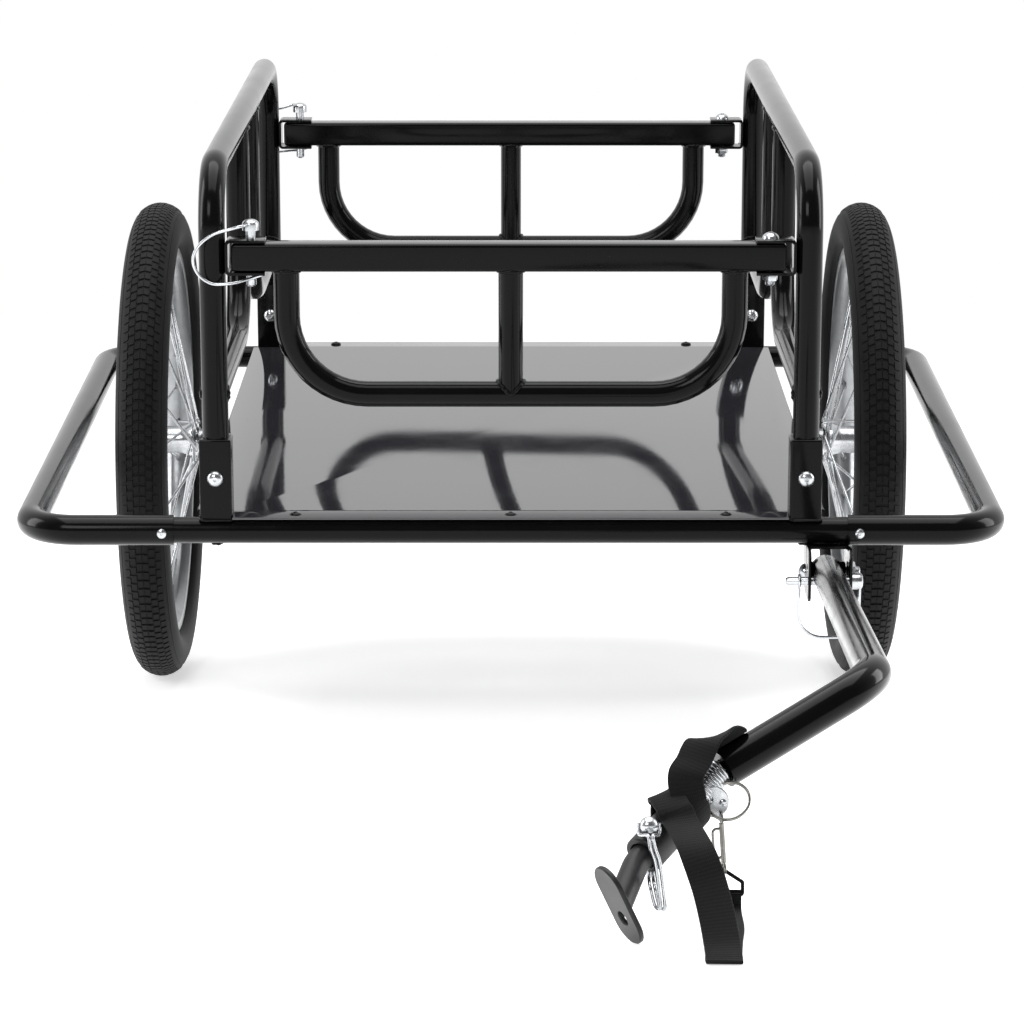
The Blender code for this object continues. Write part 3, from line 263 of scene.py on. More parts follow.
def wovenWebbing():
    # Woven nylon webbing: ribs across the strap over yarns along it, from the strap's own map in metres,
    # both drawn about twice as coarse as real ones so that they show. The raised weave is coloured lighter
    # and its hollows darker, as painted shade
    material, tree, shader, spot = newMaterial("blackWebbing")
    ribs = addNode(tree, "ShaderNodeTexWave", {"wave_type": "BANDS", "bands_direction": "Y",
                                               "Scale": waves(2.2), "Distortion": 0.6,
                                               "Detail Scale": 3.0}, {"Vector": spot.outputs["UV"]})
    yarns = addNode(tree, "ShaderNodeTexWave", {"wave_type": "BANDS", "bands_direction": "X",
                                                "Scale": waves(1.1), "Distortion": 1.0},
                    {"Vector": spot.outputs["UV"]})
    weave = addNode(tree, "ShaderNodeMath", {"operation": "MULTIPLY"},
                    {0: ribs.outputs["Fac"], 1: yarns.outputs["Fac"]})
    # The weave sets both colour and bump, so its grooves are painted darker: painted shade in the hollows
    dress(tree, shader, ("#060607", "#121213"), weave.outputs[0], weave.outputs[0], 0.45, 0.0003)
    setInputs(shader, {"Roughness": 0.75, "Specular IOR Level": 0.15, "Sheen Weight": 0.06})
    return material


paintSlot, zincSlot = "black_gloss_paint", "bright_zinc"
# Gloss paint shows the room as sharp streaks, the sheet mirrors its gates, and satin paint only dims
blackPaint = (blackFinish("blackGlossPaint", ("#060607", "#0b0b0c"), (0.1, 0.2), 0.5, 0.2), paintSlot)
sheetPaint = (blackFinish("blackSheetPaint", ("#26262a", "#2d2d31"), (0.04, 0.08), 1.0, 1.0), paintSlot)
satinPaint = (blackFinish("blackSatinPaint", ("#161618", "#1e1e20"), (0.34, 0.48), 0.5, 0.6), paintSlot)
# Zinc plate is the brightest metal, drawn spokes a little duller, the rims grey and satin, the wire dark
brightZinc = (metalFinish("brightZinc", ("#d6d8da", "#a6a9ad"), (0.16, 0.34)), zincSlot)
rimAlloy = (metalFinish("satinRimAlloy", ("#a4a6a8", "#8a8c8e"), (0.28, 0.4)), "rim_alloy")
spokeSteel = (metalFinish("drawnSpokeSteel", ("#cfd1d3", "#b7b9bc"), (0.18, 0.3)), zincSlot)
nickel = (metalFinish("nickelWire", ("#8e8d8a", "#66655f"), (0.2, 0.34)), zincSlot)
rubber = (tyreRubber(), "tyre_rubber")
webbing = (wovenWebbing(), "black_webbing")
stage("materials")


# Mesh tools: a swept bar, a turned shape and a bevelled block, all added to one body

def onCircle(centre, across, up, radius, count):
    # Places round a circle
    angles = [math.tau * i / count for i in range(count)]
    return [centre + (across * math.cos(a) + up * math.sin(a)) * radius for a in angles]


def arcPoints(before, corner, after, radius, stepAngle=math.radians(7.5)):
    # A corner's round, or the corner itself where the route runs straight
    inward = (before - corner).normalized()
    outward = (after - corner).normalized()
    turn = math.pi - inward.angle(outward)
    if turn < 0.001:
        return [corner]
    start = corner + inward * radius * math.tan(turn / 2)
    centre = corner + (inward + outward).normalized() * radius / math.cos(turn / 2)
    axis = outward.cross(inward).normalized()
    steps = max(3, math.ceil(turn / stepAngle))
    return [centre + Matrix.Rotation(turn * i / steps, 3, axis) @ (start - centre)
            for i in range(steps + 1)]


def bent(points, radius):
    points = [Vector(p) for p in points]
    route = [points[0]]
    for before, corner, after in zip(points, points[1:], points[2:]):
        route += arcPoints(before, corner, after, radius)
    return route + [points[-1]]


def bentRing(corners, radius):
    corners = [Vector(c) for c in corners]
    ring = []
    for i, corner in enumerate(corners):
        ring += arcPoints(corners[i - 1], corner, corners[(i + 1) % len(corners)], radius)
    return ring


def roundedOutline(corners, rounds, stepAngle):
    # A flat outline with a round of its own at each corner, or none where that is zero
    outline = []
    for i, corner in enumerate(corners):
        if rounds[i]:
            spots = [Vector((*c, 0)) for c in (corners[i - 1], corner, corners[(i + 1) % len(corners)])]
            outline += [(p.x, p.y) for p in arcPoints(*spots, rounds[i], stepAngle)]
        else:
            outline.append(corner)
    return outline


def roundedBox(halfWidth, halfHeight, radius):
    corners = ((-halfWidth, -halfHeight, 0), (halfWidth, -halfHeight, 0), (halfWidth, halfHeight, 0),
               (-halfWidth, halfHeight, 0))
    return [(p.x, p.y) for p in bentRing(corners, radius)]


def smooth(route, steps):
    # A curve through every place, whose slope at each comes from the two beside it
    spots = [Vector(p) for p in route]
    out = []
    for i in range(len(spots) - 1):
        a, b, c, d = (spots[max(0, min(len(spots) - 1, i + k))] for k in (-1, 0, 1, 2))
        for j in range(steps):
            t = j / steps
            out.append(0.5 * (2 * b + (c - a) * t + (2 * a - 5 * b + 4 * c - d) * t * t
                              + (3 * b - a - 3 * c + d) * t ** 3))
    return out + [spots[-1]]


def skinRings(body, rings, closedAlong, caps):
    # Faces between rings of vertices
    total = len(rings) if closedAlong else len(rings) - 1
    for i in range(total):
        near, far = rings[i], rings[(i + 1) % len(rings)]
        for j in range(len(near)):
            k = (j + 1) % len(near)
            body.faces.new((near[j], near[k], far[k], far[j]))
    if caps:
        body.faces.new(list(reversed(rings[0])))
        body.faces.new(rings[-1])


def addBar(body, route, diameter, count=32, closed=False, swell=None):
    # A round bar along a route, with its rings turned as little as possible
    route = [Vector(p) for p in route]
    total = len(route)
    rings = []
    side = None
    for i, spot in enumerate(route):
        before = route[i - 1] if i or closed else spot
        after = route[(i + 1) % total] if i < total - 1 or closed else spot
        along = (after - before).normalized()
        if side is None:
            side = along.orthogonal().normalized()
        side = (side - along * side.dot(along)).normalized()
        radius = diameter / 2 * (swell(i / total) if swell else 1)
        rings.append([body.verts.new(p) for p in onCircle(spot, side, along.cross(side), radius, count)])
    skinRings(body, rings, closed, not closed)


def addTurned(body, profile, origin, axis, steps=48, closed=False):
    # A profile of (radius, height) pairs turned about an axis, closed on itself or capped at its ends
    axis = Vector(axis).normalized()
    origin = Vector(origin)
    side = axis.orthogonal().normalized()
    columns = [[body.verts.new(origin + around * r + axis * h) for r, h in profile]
               for around in onCircle(Vector(), side, axis.cross(side), 1, steps)]
    if closed:
        skinRings(body, columns, True, False)
        return
    for i, near in enumerate(columns):
        far = columns[(i + 1) % steps]
        for j in range(len(profile) - 1):
            body.faces.new((near[j], far[j], far[j + 1], near[j + 1]))
    body.faces.new([c[0] for c in reversed(columns)])
    body.faces.new([c[-1] for c in columns])


def dome(radius, rise, arcs, base=0.0):
    # A dome's profile from its rim up, short of the top
    turns = [math.pi / 2 * i / arcs for i in range(arcs)]
    return [(radius * math.cos(a), base + rise * math.sin(a)) for a in turns]


def addBlock(body, low, high, rounding, segments=3):
    low, high = Vector(low), Vector(high)
    place = Matrix.Translation((low + high) / 2) @ Matrix.Diagonal((*(high - low), 1))
    made = bmesh.ops.create_cube(body, size=1, matrix=place)
    edges = list({e for v in made["verts"] for e in v.link_edges})
    bmesh.ops.bevel(body, geom=edges, offset=rounding, segments=segments, affect="EDGES", profile=0.5)


def addPlate(body, outline, thickness, place, rounding=0.0003):
    # A flat outline given its thickness, with a broken edge
    low, high = ([body.verts.new(place @ Vector((x, y, z))) for x, y in outline]
                 for z in (-thickness / 2, thickness / 2))
    bottom = body.faces.new(list(reversed(low)))
    top = body.faces.new(high)
    for i in range(len(outline)):
        k = (i + 1) % len(outline)
        body.faces.new((low[i], low[k], high[k], high[i]))
    edges = list(set(bottom.edges) | set(top.edges))
    bmesh.ops.bevel(body, geom=edges, offset=rounding, segments=2, affect="EDGES", profile=0.5)


def frameAt(origin, across, up):
    across, up = Vector(across).normalized(), Vector(up).normalized()
    turn = Matrix((across, up, across.cross(up))).transposed().to_4x4()
    return Matrix.Translation(Vector(origin)) @ turn


def ripple(depth, count):
    # A bead's width along its run, as a welder lays it down in drops
    return lambda t: 1 + depth * math.sin(t * math.tau * count)


weld = {"bead": 0.0032, "inset": 0.12, "places": 72, "depth": 0.16, "drops": 17, "sides": 10}


def addWeld(body, centre, branch, main, branchDiameter, mainDiameter, bead=weld["bead"]):
    # A rippled bead where one tube meets another's side
    branch, main = Vector(branch).normalized(), Vector(main).normalized()
    r, big = branchDiameter / 2 + bead * weld["inset"], mainDiameter / 2
    ring = onCircle(Vector(centre), branch.cross(main), main, r, weld["places"])
    offsets = [r * math.cos(math.tau * i / weld["places"]) for i in range(weld["places"])]
    route = [spot + branch * math.sqrt(max(big * big - x * x, 0)) for spot, x in zip(ring, offsets)]
    addBar(body, route, bead, weld["sides"], True, ripple(weld["depth"], weld["drops"]))


def finishPiece(body, name, rider, finish, nodes=(), place=parked, sharp=35):
    # Turns a body into a piece that rides on a CAD body and stands for its nodes
    material, slot = finish
    bmesh.ops.recalc_face_normals(body, faces=body.faces)
    data = bpy.data.meshes.new(name)
    body.to_mesh(data)
    body.free()
    data.transform(place)
    data.shade_smooth()
    data.set_sharp_from_angle(angle=math.radians(sharp))
    data.materials.clear()
    data.materials.append(material)
    piece = bpy.data.objects.new(name, data)
    link(piece)
    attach(piece, rider)
    if nodes:
        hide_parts(*nodes)
    return piece


# Bolts: dome head, hexagon nut with broken corners and the thread's end

bolts = {"head": 0.012, "rise": 0.0045, "skirtShare": 0.96, "sunk": 0.0002, "nut": 0.010, "nutHeight": 0.005,
         "nutEdgeShare": 0.06, "tail": 0.003, "pitch": 0.0008, "rootShare": 0.91, "tipShare": 0.6,
         "chamfer": 0.0006}


def addNut(body, base, axis, across, height):
    base, axis = Vector(base), Vector(axis).normalized()
    turn = frameAt(base + axis * height / 2, axis.orthogonal(), axis.cross(axis.orthogonal()))
    corner = across / 2 / math.cos(math.pi / 6)
    angles = [math.tau * (i + 0.5) / 6 for i in range(6)]
    outline = [(corner * math.cos(a), corner * math.sin(a)) for a in angles]
    addPlate(body, outline, height, turn, across * bolts["nutEdgeShare"])


def addThread(body, base, axis, size, length):
    # A thread's end as close turns with a chamfered tip
    count = max(2, int(length / bolts["pitch"]))
    root = size / 2 * bolts["rootShare"]
    profile = []
    for i in range(count):
        h = length * i / count
        profile += [(root, h), (size / 2, h + length / count / 2)]
    profile += [(root, length), (size / 2 * bolts["tipShare"], length + bolts["chamfer"])]
    addTurned(body, profile, base, axis, 24)


def makeBolt(name, node, seat, axis, grip, shank, nut=bolts["nut"]):
    body = bmesh.new()
    seat, axis = Vector(seat), Vector(axis)
    radius, rise = bolts["head"] / 2, bolts["rise"]
    head = [(radius * bolts["skirtShare"], -bolts["sunk"])] + dome(radius, rise, 8)
    addTurned(body, head + [(radius * 0.32, rise * 0.99), (radius * 0.26, rise * 0.7)], seat, axis, 36)
    far = seat - axis * grip
    addTurned(body, [(shank / 2, 0), (shank / 2, grip)], far, axis, 24)
    addNut(body, far, -axis, nut, bolts["nutHeight"])
    addThread(body, far - axis * bolts["nutHeight"], -axis, shank, bolts["tail"])
    finishPiece(body, name, "frame", brightZinc, [node])


# Deck frame and sheet

deck = {
    "front": -0.383, "rear": 0.261, "halfWidth": 0.227, "sheet": 0.0017, "edge": 0.0005,
    "notchX": 0.1999, "notchFront": -0.3587, "notchRear": 0.2367,
    "tube": 0.019, "tubeHeight": 0.018, "sideX": 0.2117, "tubeFront": -0.3735, "tubeRear": 0.2515,
    "crossHalf": 0.2645, "middle": -0.061,
    "screwX": (-0.155, 0.0, 0.155), "screwHead": 0.009, "screwRise": 0.0021, "screwSunk": 0.0002,
}
tubeEnds = ((-1, deck["tubeFront"]), (1, deck["tubeRear"]))
tubeHeight, sideX, middle = deck["tubeHeight"], deck["sideX"], deck["middle"]


def makeDeckFrame():
    body = bmesh.new()
    z, tube = tubeHeight, deck["tube"]
    for way, y in tubeEnds:
        addBar(body, [(-deck["crossHalf"], y, z), (deck["crossHalf"], y, z)], tube)
        for x in (-sideX, sideX):
            addWeld(body, (x, y, z), (0, -way, 0), rightward, tube, tube)
    for x in (-sideX, sideX):
        addBar(body, [(x, deck["tubeFront"], z), (x, deck["tubeRear"], z)], tube)
        addWeld(body, (x, middle, z), (-x, 0, 0), rearward, tube, tube)
    addBar(body, [(-sideX, middle, z), (sideX, middle, z)], tube)
    finishPiece(body, "deckFrame", "frame", blackPaint,
                ["front_cross_tube", "rear_cross_tube", "side_tube_left", "side_tube_right", "deck_bearer"])


def makeDeckSheet():
    # The sheet is notched at its corners for the posts' sockets
    body = bmesh.new()
    half, notch, front, rear = deck["halfWidth"], deck["notchX"], deck["front"], deck["rear"]
    cutFront, cutRear = deck["notchFront"], deck["notchRear"]
    right = [(notch, front), (notch, cutFront), (half, cutFront), (half, cutRear), (notch, cutRear),
             (notch, rear)]
    outline = [(-notch, front)] + right + [(-x, y) for x, y in reversed(right[1:])]
    place = Matrix.Translation((0, 0, deckTop - deck["sheet"] / 2))
    addPlate(body, outline, deck["sheet"], place, deck["edge"])
    finishPiece(body, "deckSheet", "frame", sheetPaint, ["deck_sheet"])


def makeDeckScrews():
    body = bmesh.new()
    half, rise = deck["screwHead"] / 2, deck["screwRise"]
    head = dome(half, rise, 6) + [(half * 0.28, rise), (half * 0.22, rise * 2 / 3)]
    for way, y in tubeEnds:
        for x in deck["screwX"]:
            addTurned(body, head, (x, y, deckTop - deck["screwSunk"]), upward, 24)
    finishPiece(body, "deckScrews", "frame", blackPaint)


makeDeckFrame()
makeDeckSheet()
makeDeckScrews()
stage("deck")


# Wheel guards with the screws that hold them on the cross tubes

guard = {"x": 0.3551, "frontX": 0.3492, "tube": 0.022, "bend": 0.036, "innerEnd": 0.2425,
         "screwX": 0.2507, "screw": 0.0072, "screwSunk": 0.0003}
# The screw's head as shares of its radius and heights over its seat
guardScrew = ((1, 0), (1, 0.0009), (0.9, 0.0017), (0.6, 0.0023), (0.25, 0.0025), (0.2, 0.0016))


def makeGuard(side, way):
    body = bmesh.new()
    front, rear, end = deck["tubeFront"], deck["tubeRear"], way * guard["innerEnd"]
    route = [(end, front, tubeHeight), (way * guard["frontX"], front, tubeHeight),
             (way * guard["x"], rear, tubeHeight), (end, rear, tubeHeight)]
    addBar(body, bent(route, guard["bend"]), guard["tube"], 36)
    finishPiece(body, "guard_" + side, "frame", blackPaint, ["guard_" + side], sharp=50)
    screws = bmesh.new()
    head = [(guard["screw"] / 2 * share, rise) for share, rise in guardScrew]
    out = guard["tube"] / 2 - guard["screwSunk"]
    for turn, y in tubeEnds:
        addTurned(screws, head, (way * guard["screwX"], y + turn * out, tubeHeight), (0, turn, 0), 24)
    finishPiece(screws, "guardScrews_" + side, "frame", brightZinc)


for side, way in sides:
    makeGuard(side, way)
stage("guards")


# Side frames: hoop, hooked infill tubes and weld beads, with the sockets and bolts that hold them

hoops = {"legFront": -0.3705, "legRear": 0.2485, "foot": 0.0335, "rail": 0.278, "railBend": 0.045,
         "infill": 0.0186, "infillHeight": 0.1175, "infillBend": 0.057, "infillHalf": 0.056, "pinch": 0.0024,
         "socket": 0.023, "socketLow": 0.0262, "socketTop": 0.0864, "socketEdge": 0.0016,
         "footBead": 0.0022, "footBeadRise": 0.0012, "footBend": 0.003, "boltHeight": 0.0579, "bolt": 0.006}
legs = (("front", -1, hoops["legFront"]), ("rear", 1, hoops["legRear"]))


def makeSideFrame(side, x):
    body = bmesh.new()
    tube, rail, low, foot = deck["tube"], hoops["rail"], hoops["infillHeight"], hoops["foot"]
    front, rear = hoops["legFront"], hoops["legRear"]
    hoop = bent([(x, front, foot), (x, front, rail), (x, rear, rail), (x, rear, foot)], hoops["railBend"])
    addBar(body, hoop, tube, 36)
    for end, turn, y in legs:
        bar = middle + turn * hoops["infillHalf"]
        addBar(body, bent([(x, bar, rail), (x, bar, low), (x, y, low)], hoops["infillBend"]), hoops["infill"])
        addWeld(body, (x, bar, rail), -upward, rearward, hoops["infill"] - hoops["pinch"], tube)
        addWeld(body, (x, y, low), (0, -turn, 0), upward, hoops["infill"], tube)
    finishPiece(body, "sideFrame_" + side, "frame", blackPaint, ["side_frame_" + side], sharp=60)


def makeSocket(place, x, y):
    body = bmesh.new()
    half, low, top = hoops["socket"] / 2, hoops["socketLow"], hoops["socketTop"]
    addBlock(body, (x - half, y - half, low), (x + half, y + half, top), hoops["socketEdge"], 4)
    foot = [(x + a * half, y + b * half, low + hoops["footBeadRise"])
            for a, b in ((-1, -1), (1, -1), (1, 1), (-1, 1))]
    addBar(body, bentRing(foot, hoops["footBend"]), hoops["footBead"], 10, True, ripple(0.15, 27))
    finishPiece(body, "socket_" + place, "frame", blackPaint, ["socket_" + place], sharp=50)


for side, way in sides:
    x = way * sideX
    makeSideFrame(side, x)
    for end, turn, y in legs:
        makeSocket(end + "_" + side, x, y)
    for end, turn, y in legs:
        place = end + "_" + side
        seat = (x, y - hoops["socket"] / 2, hoops["boltHeight"])
        makeBolt("socketBolt_" + place, "socket_bolt_" + place, seat, -rearward, hoops["socket"],
                 hoops["bolt"])
stage("side frames and sockets")


# Gates, their brackets, hinge bolts and lock pins

gates = {"height": 0.2176, "tube": 0.020, "half": 0.195, "leftMore": 0.0026, "round": 0.0026,
         "bar": 0.0186, "centre": 0.0176, "spread": 0.1592, "low": 0.1177, "bend": 0.057,
         "bead": 0.003, "beadOut": 0.0004, "pinX": 0.184, "pin": 0.007,
         "sheet": 0.002, "reach": 0.028, "width": 0.020, "bracketHalf": 0.0126, "seat": 0.0003,
         "fold": 0.003, "foldInside": 0.001}


def makeGate(end, y):
    body = bmesh.new()
    z, half, h, bar, centre = gates["height"], gates["half"], gates["tube"] / 2, gates["bar"], gates["centre"]
    addBlock(body, (-half - gates["leftMore"], y - h, z - h), (half, y + h, z + h), gates["round"], 5)
    s, low = gates["spread"], gates["low"]
    addBar(body, bent([(-s, y, z), (-s, y, low), (s, y, low), (s, y, z)], gates["bend"]), bar, 36)
    addBar(body, [(0, y, low), (0, y, z)], centre)
    addWeld(body, (0, y, low), upward, rightward, centre, bar)
    for x, size in ((-s, bar), (s, bar), (0, centre)):
        bead = onCircle(Vector((x, y, z - h)), rightward, rearward, size / 2 + gates["beadOut"], 64)
        addBar(body, bead, gates["bead"], 10, True, ripple(0.16, 15))
    finishPiece(body, "gate_" + end + "_frame", "gate_" + end, blackPaint, ["gate_" + end], sharp=50)


def makeBracket(place, way, y):
    # A sheet folded to a U round the gate's end, with rounded folds
    body = bmesh.new()
    back = way * (sideX - deck["tube"] / 2 - gates["seat"])
    tip, web = back - way * gates["reach"], back - way * gates["sheet"]
    half, inner = gates["bracketHalf"], gates["bracketHalf"] - gates["sheet"]
    corners = [(tip, -half), (back, -half), (back, half), (tip, half), (tip, inner), (web, inner),
               (web, -inner), (tip, -inner)]
    out, inside = gates["fold"], gates["foldInside"]
    outline = roundedOutline(corners, (0, out, out, 0, 0, inside, inside, 0), 0.3)
    addPlate(body, outline, gates["width"], frameAt((0, y, gates["height"]), rightward, upward))
    finishPiece(body, "bracket_" + place, "frame", blackPaint, ["gate_bracket_" + place])


lockPin = {"rise": 0.012, "tail": 0.009, "gap": 0.0104, "radius": 0.0035, "tip": 0.0026, "tipHeight": 0.0012,
           "head": 0.006, "headHeight": 0.006, "headWall": 0.0045, "headDome": 0.0034,
           "wire": 0.0023, "wireDrop": 0.003, "wireOut": 0.0118}
# The wire's sweep round the post, as places across and up, and its end at the pin's foot, as
# steps across, out and up from there
pinWire = ((-0.1890, 0.2408), (-0.1980, 0.2385), (-0.2090, 0.2352), (-0.2180, 0.2290), (-0.2232, 0.2215),
           (-0.2240, 0.2140), (-0.2205, 0.2062), (-0.2150, 0.2015), (-0.2085, 0.1993))
pinWireEnd = ((-0.012, 0.0118, 0.0042), (0.0, 0.0046, 0.0062), (0.010, 0.0046, 0.0094))


def makeLockPin(end, turn, y):
    # A pin with a domed head and a spring wire that snaps round the post
    body = bmesh.new()
    x, z, r, gap = -gates["pinX"], gates["height"], lockPin["radius"], lockPin["gap"]
    top, low = z + gates["bracketHalf"] + lockPin["rise"], z - gates["bracketHalf"] - lockPin["tail"]
    neck, length = top - lockPin["headHeight"], z - gap - low
    addTurned(body, [(r, 0), (r, neck - z - gap)], (x, y, z + gap), upward, 28)
    head = [(lockPin["head"], 0)] + dome(lockPin["head"], lockPin["headDome"], 6, lockPin["headWall"])
    addTurned(body, head, (x, y, neck), upward, 32)
    addTurned(body, [(r, 0), (r, length - lockPin["tipHeight"]), (lockPin["tip"], length)], (x, y, z - gap),
              -upward, 28)
    route = [(x, y, top - lockPin["wireDrop"])]
    route += [(px, y + turn * lockPin["wireOut"], pz) for px, pz in pinWire]
    route += [(x + a, y + turn * b, low + c) for a, b, c in pinWireEnd]
    addBar(body, smooth(route, 6), lockPin["wire"], 16)
    finishPiece(body, "lockPin_" + end, "frame", brightZinc, ["gate_lock_pin_" + end])


for end, turn, y in legs:
    makeGate(end, y)
    for side, way in sides:
        makeBracket(end + "_" + side, way, y)
    makeLockPin(end, turn, y)
    seat = (gates["pinX"], y, gates["height"] + gates["bracketHalf"])
    makeBolt("gateBolt_" + end, "gate_bolt_" + end, seat, upward, 2 * gates["bracketHalf"], gates["pin"])
stage("gates")


# Repeated pieces stand in a ring, turned about the X axis by Geometry Nodes

def ringTree():
    tree = bpy.data.node_groups.new("ringOfCopies", "GeometryNodeTree")
    for name, kind in (("Geometry", "Geometry"), ("Copy", "Object"), ("Count", "Int"),
                       ("Start Angle", "Float"), ("Finish", "Material")):
        tree.interface.new_socket(name, in_out="INPUT", socket_type="NodeSocket" + kind)
    tree.interface.new_socket("Geometry", in_out="OUTPUT", socket_type="NodeSocketGeometry")
    given = addNode(tree, "NodeGroupInput")
    source = addNode(tree, "GeometryNodeObjectInfo", None, {"Object": given.outputs["Copy"]})
    line = addNode(tree, "GeometryNodeMeshLine", {"Offset": (0, 0, 0)}, {"Count": given.outputs["Count"]})
    index = addNode(tree, "GeometryNodeInputIndex")
    part = addNode(tree, "ShaderNodeMath", {"operation": "DIVIDE"},
                   {0: index.outputs[0], 1: given.outputs["Count"]})
    angle = addNode(tree, "ShaderNodeMath", {"operation": "MULTIPLY_ADD", 1: math.tau},
                    {0: part.outputs[0], 2: given.outputs["Start Angle"]})
    turn = addNode(tree, "ShaderNodeCombineXYZ", None, {"X": angle.outputs[0]})
    copies = addNode(tree, "GeometryNodeInstanceOnPoints", None,
                     {"Points": line.outputs[0], "Instance": source.outputs["Geometry"],
                      "Rotation": turn.outputs[0]})
    real = addNode(tree, "GeometryNodeRealizeInstances", None, {"Geometry": copies.outputs[0]})
    dressed = addNode(tree, "GeometryNodeSetMaterial", None,
                      {"Geometry": real.outputs[0], "Material": given.outputs["Finish"]})
    addNode(tree, "NodeGroupOutput", None, {"Geometry": dressed.outputs[0]})
    return tree


ringGroup = ringTree()


def addRing(body, copied, count, startAngle, finish, name):
    # The copied body's shape, repeated round the X axis and taken into the other body
    bmesh.ops.recalc_face_normals(copied, faces=copied.faces)
    shape = bpy.data.meshes.new(name + "Shape")
    copied.to_mesh(shape)
    copied.free()
    copy = bpy.data.objects.new(name + "Shape", shape)
    carrier = bpy.data.objects.new(name, bpy.data.meshes.new(name))
    link(copy)
    link(carrier)
    step = carrier.modifiers.new("copies", "NODES")
    step.node_group = ringGroup
    values = {"Copy": copy, "Count": count, "Start Angle": startAngle, "Finish": finish[0]}
    for item in ringGroup.interface.items_tree:
        if item.item_type == "SOCKET" and item.in_out == "INPUT" and item.name in values:
            step[item.identifier] = values[item.name]
    bpy.context.view_layer.update()
    graph = bpy.context.evaluated_depsgraph_get()
    made = bpy.data.meshes.new_from_object(carrier.evaluated_get(graph))
    bpy.data.objects.remove(carrier, do_unlink=True)
    bpy.data.objects.remove(copy, do_unlink=True)
    body.from_mesh(made)
    bpy.data.meshes.remove(made)


# Wheels: treaded tyre, rim with nipples and valve, hub with flanges, and crossed spokes

wheel = {"x": 0.286, "radius": 0.194, "section": 0.0405, "sidewall": 125, "bead": 0.0003, "beadHalf": 0.0118,
         "treadRise": 0.0011, "blocks": 150, "rows": ((0.012, 0.21), (0.245, 0.47), (0.51, 0.74)),
         "blockShare": 0.8, "blockTopShare": 0.84, "blockSkew": 0.004, "blockSunk": 0.0004, "rib": 0.98,
         "rimRadius": 0.1585, "rimWidth": 0.025, "rimDepth": 0.014,
         "flange": 0.040, "flangeGap": 0.054, "barrel": 0.026, "hubLength": 0.068, "neck": 0.018,
         "bore": 0.0056, "holeInset": 0.0032, "spoke": 0.0021, "spokes": 28, "crosses": 2, "headShare": 1.35,
         "rimInset": 0.006}
# The rim's section as heights over its bed or its edge and shares of its half width
rimBedOutside = ((0.0, 0.0), (0.0002, 0.35), (0.0012, 0.55))
rimWall = ((-0.0075, 0.97), (-0.006, 1.0), (-0.0008, 1.0), (-0.0001, 0.96), (-0.0002, 0.856),
           (-0.0012, 0.824), (-0.006, 0.824))
rimBedInside = ((0.0032, 0.5), (0.0024, 0.0))
# Nipples and the tyre's valve as radii and lengths
nippleProfile = ((0.0021, 0), (0.0021, 0.002), (0.0016, 0.003), (0.0016, 0.011), (0.0012, 0.0122))
valveProfile = ((0.0031, 0), (0.0031, 0.018), (0.0026, 0.0182), (0.0026, 0.027), (0.0022, 0.028))
hubMiddle = Vector()


def onWheel(way):
    return parked @ Matrix.Translation((way * wheel["x"], 0, 0))


def mirrored(half):
    # A section's other side
    return [(r, -h) for r, h in reversed(half)]


def arcOnTyre(a, lift=0.0):
    # Radius and side of a place on the tyre's round, by its angle from the crown
    half = wheel["section"] / 2
    shrink = half - wheel["treadRise"] / 2
    middleRadius = wheel["radius"] - wheel["treadRise"] - shrink
    return middleRadius + (shrink + lift) * math.cos(a), (half + lift) * math.sin(a)


def addTreadBlock(body, a0, a1, along, place, skew, rise):
    # One rubber block on the tyre's round, from angle a0 to a1 across it, open at the bottom
    steps = 2
    low, high = [], []
    for i in range(steps + 1):
        a = a0 + (a1 - a0) * i / steps
        for sign in (-1, 1):
            for lift, group, pinch in ((-wheel["blockSunk"], low, 1.0), (rise, high, wheel["blockTopShare"])):
                r, h = arcOnTyre(a, lift)
                w = (place + sign * along / 2 * pinch + skew * (a - (a0 + a1) / 2)) / wheel["radius"]
                group.append(body.verts.new((h, -r * math.sin(w), r * math.cos(w))))
    for i in range(steps):
        j = 2 * i
        body.faces.new((high[j], high[j + 1], high[j + 3], high[j + 2]))
        body.faces.new((low[j], high[j], high[j + 2], low[j + 2]))
        body.faces.new((low[j + 1], low[j + 3], high[j + 3], high[j + 1]))
    body.faces.new((low[0], low[1], high[1], high[0]))
    body.faces.new((low[-2], high[-2], high[-1], low[-1]))


def makeTyre(side, way):
    body = bmesh.new()
    foot = wheel["rimRadius"] + wheel["bead"]
    arcs, sidewall = 40, math.radians(wheel["sidewall"])
    profile = [(foot, -wheel["beadHalf"]), (foot, wheel["beadHalf"])]
    profile += [arcOnTyre(sidewall * (1 - 2 * i / arcs)) for i in range(arcs + 1)]
    addTurned(body, profile, hubMiddle, rightward, 144, closed=True)
    for a in (-wheel["rib"], wheel["rib"]):
        r, h = arcOnTyre(a)
        rib = [(r - 0.0006, h - 0.0004), (r + 0.0004, h), (r - 0.0006, h + 0.0004)]
        addTurned(body, rib, hubMiddle, rightward, 144, closed=True)
    blocks = bmesh.new()
    pitch = math.tau * wheel["radius"] / wheel["blocks"]
    for sign in (-1, 1):
        for i, (a0, a1) in enumerate(wheel["rows"]):
            rise = wheel["treadRise"] * 0.95 * (0.95 - 0.12 * i)
            addTreadBlock(blocks, sign * a0, sign * a1, pitch * wheel["blockShare"], pitch / 2 * (i % 2),
                          sign * wheel["blockSkew"], rise)
    addRing(body, blocks, wheel["blocks"], 0.0, rubber, "treadBlocks")
    finishPiece(body, "tyreTread_" + side, "wheel_" + side, rubber, ["tyre_" + side], onWheel(way), 40)


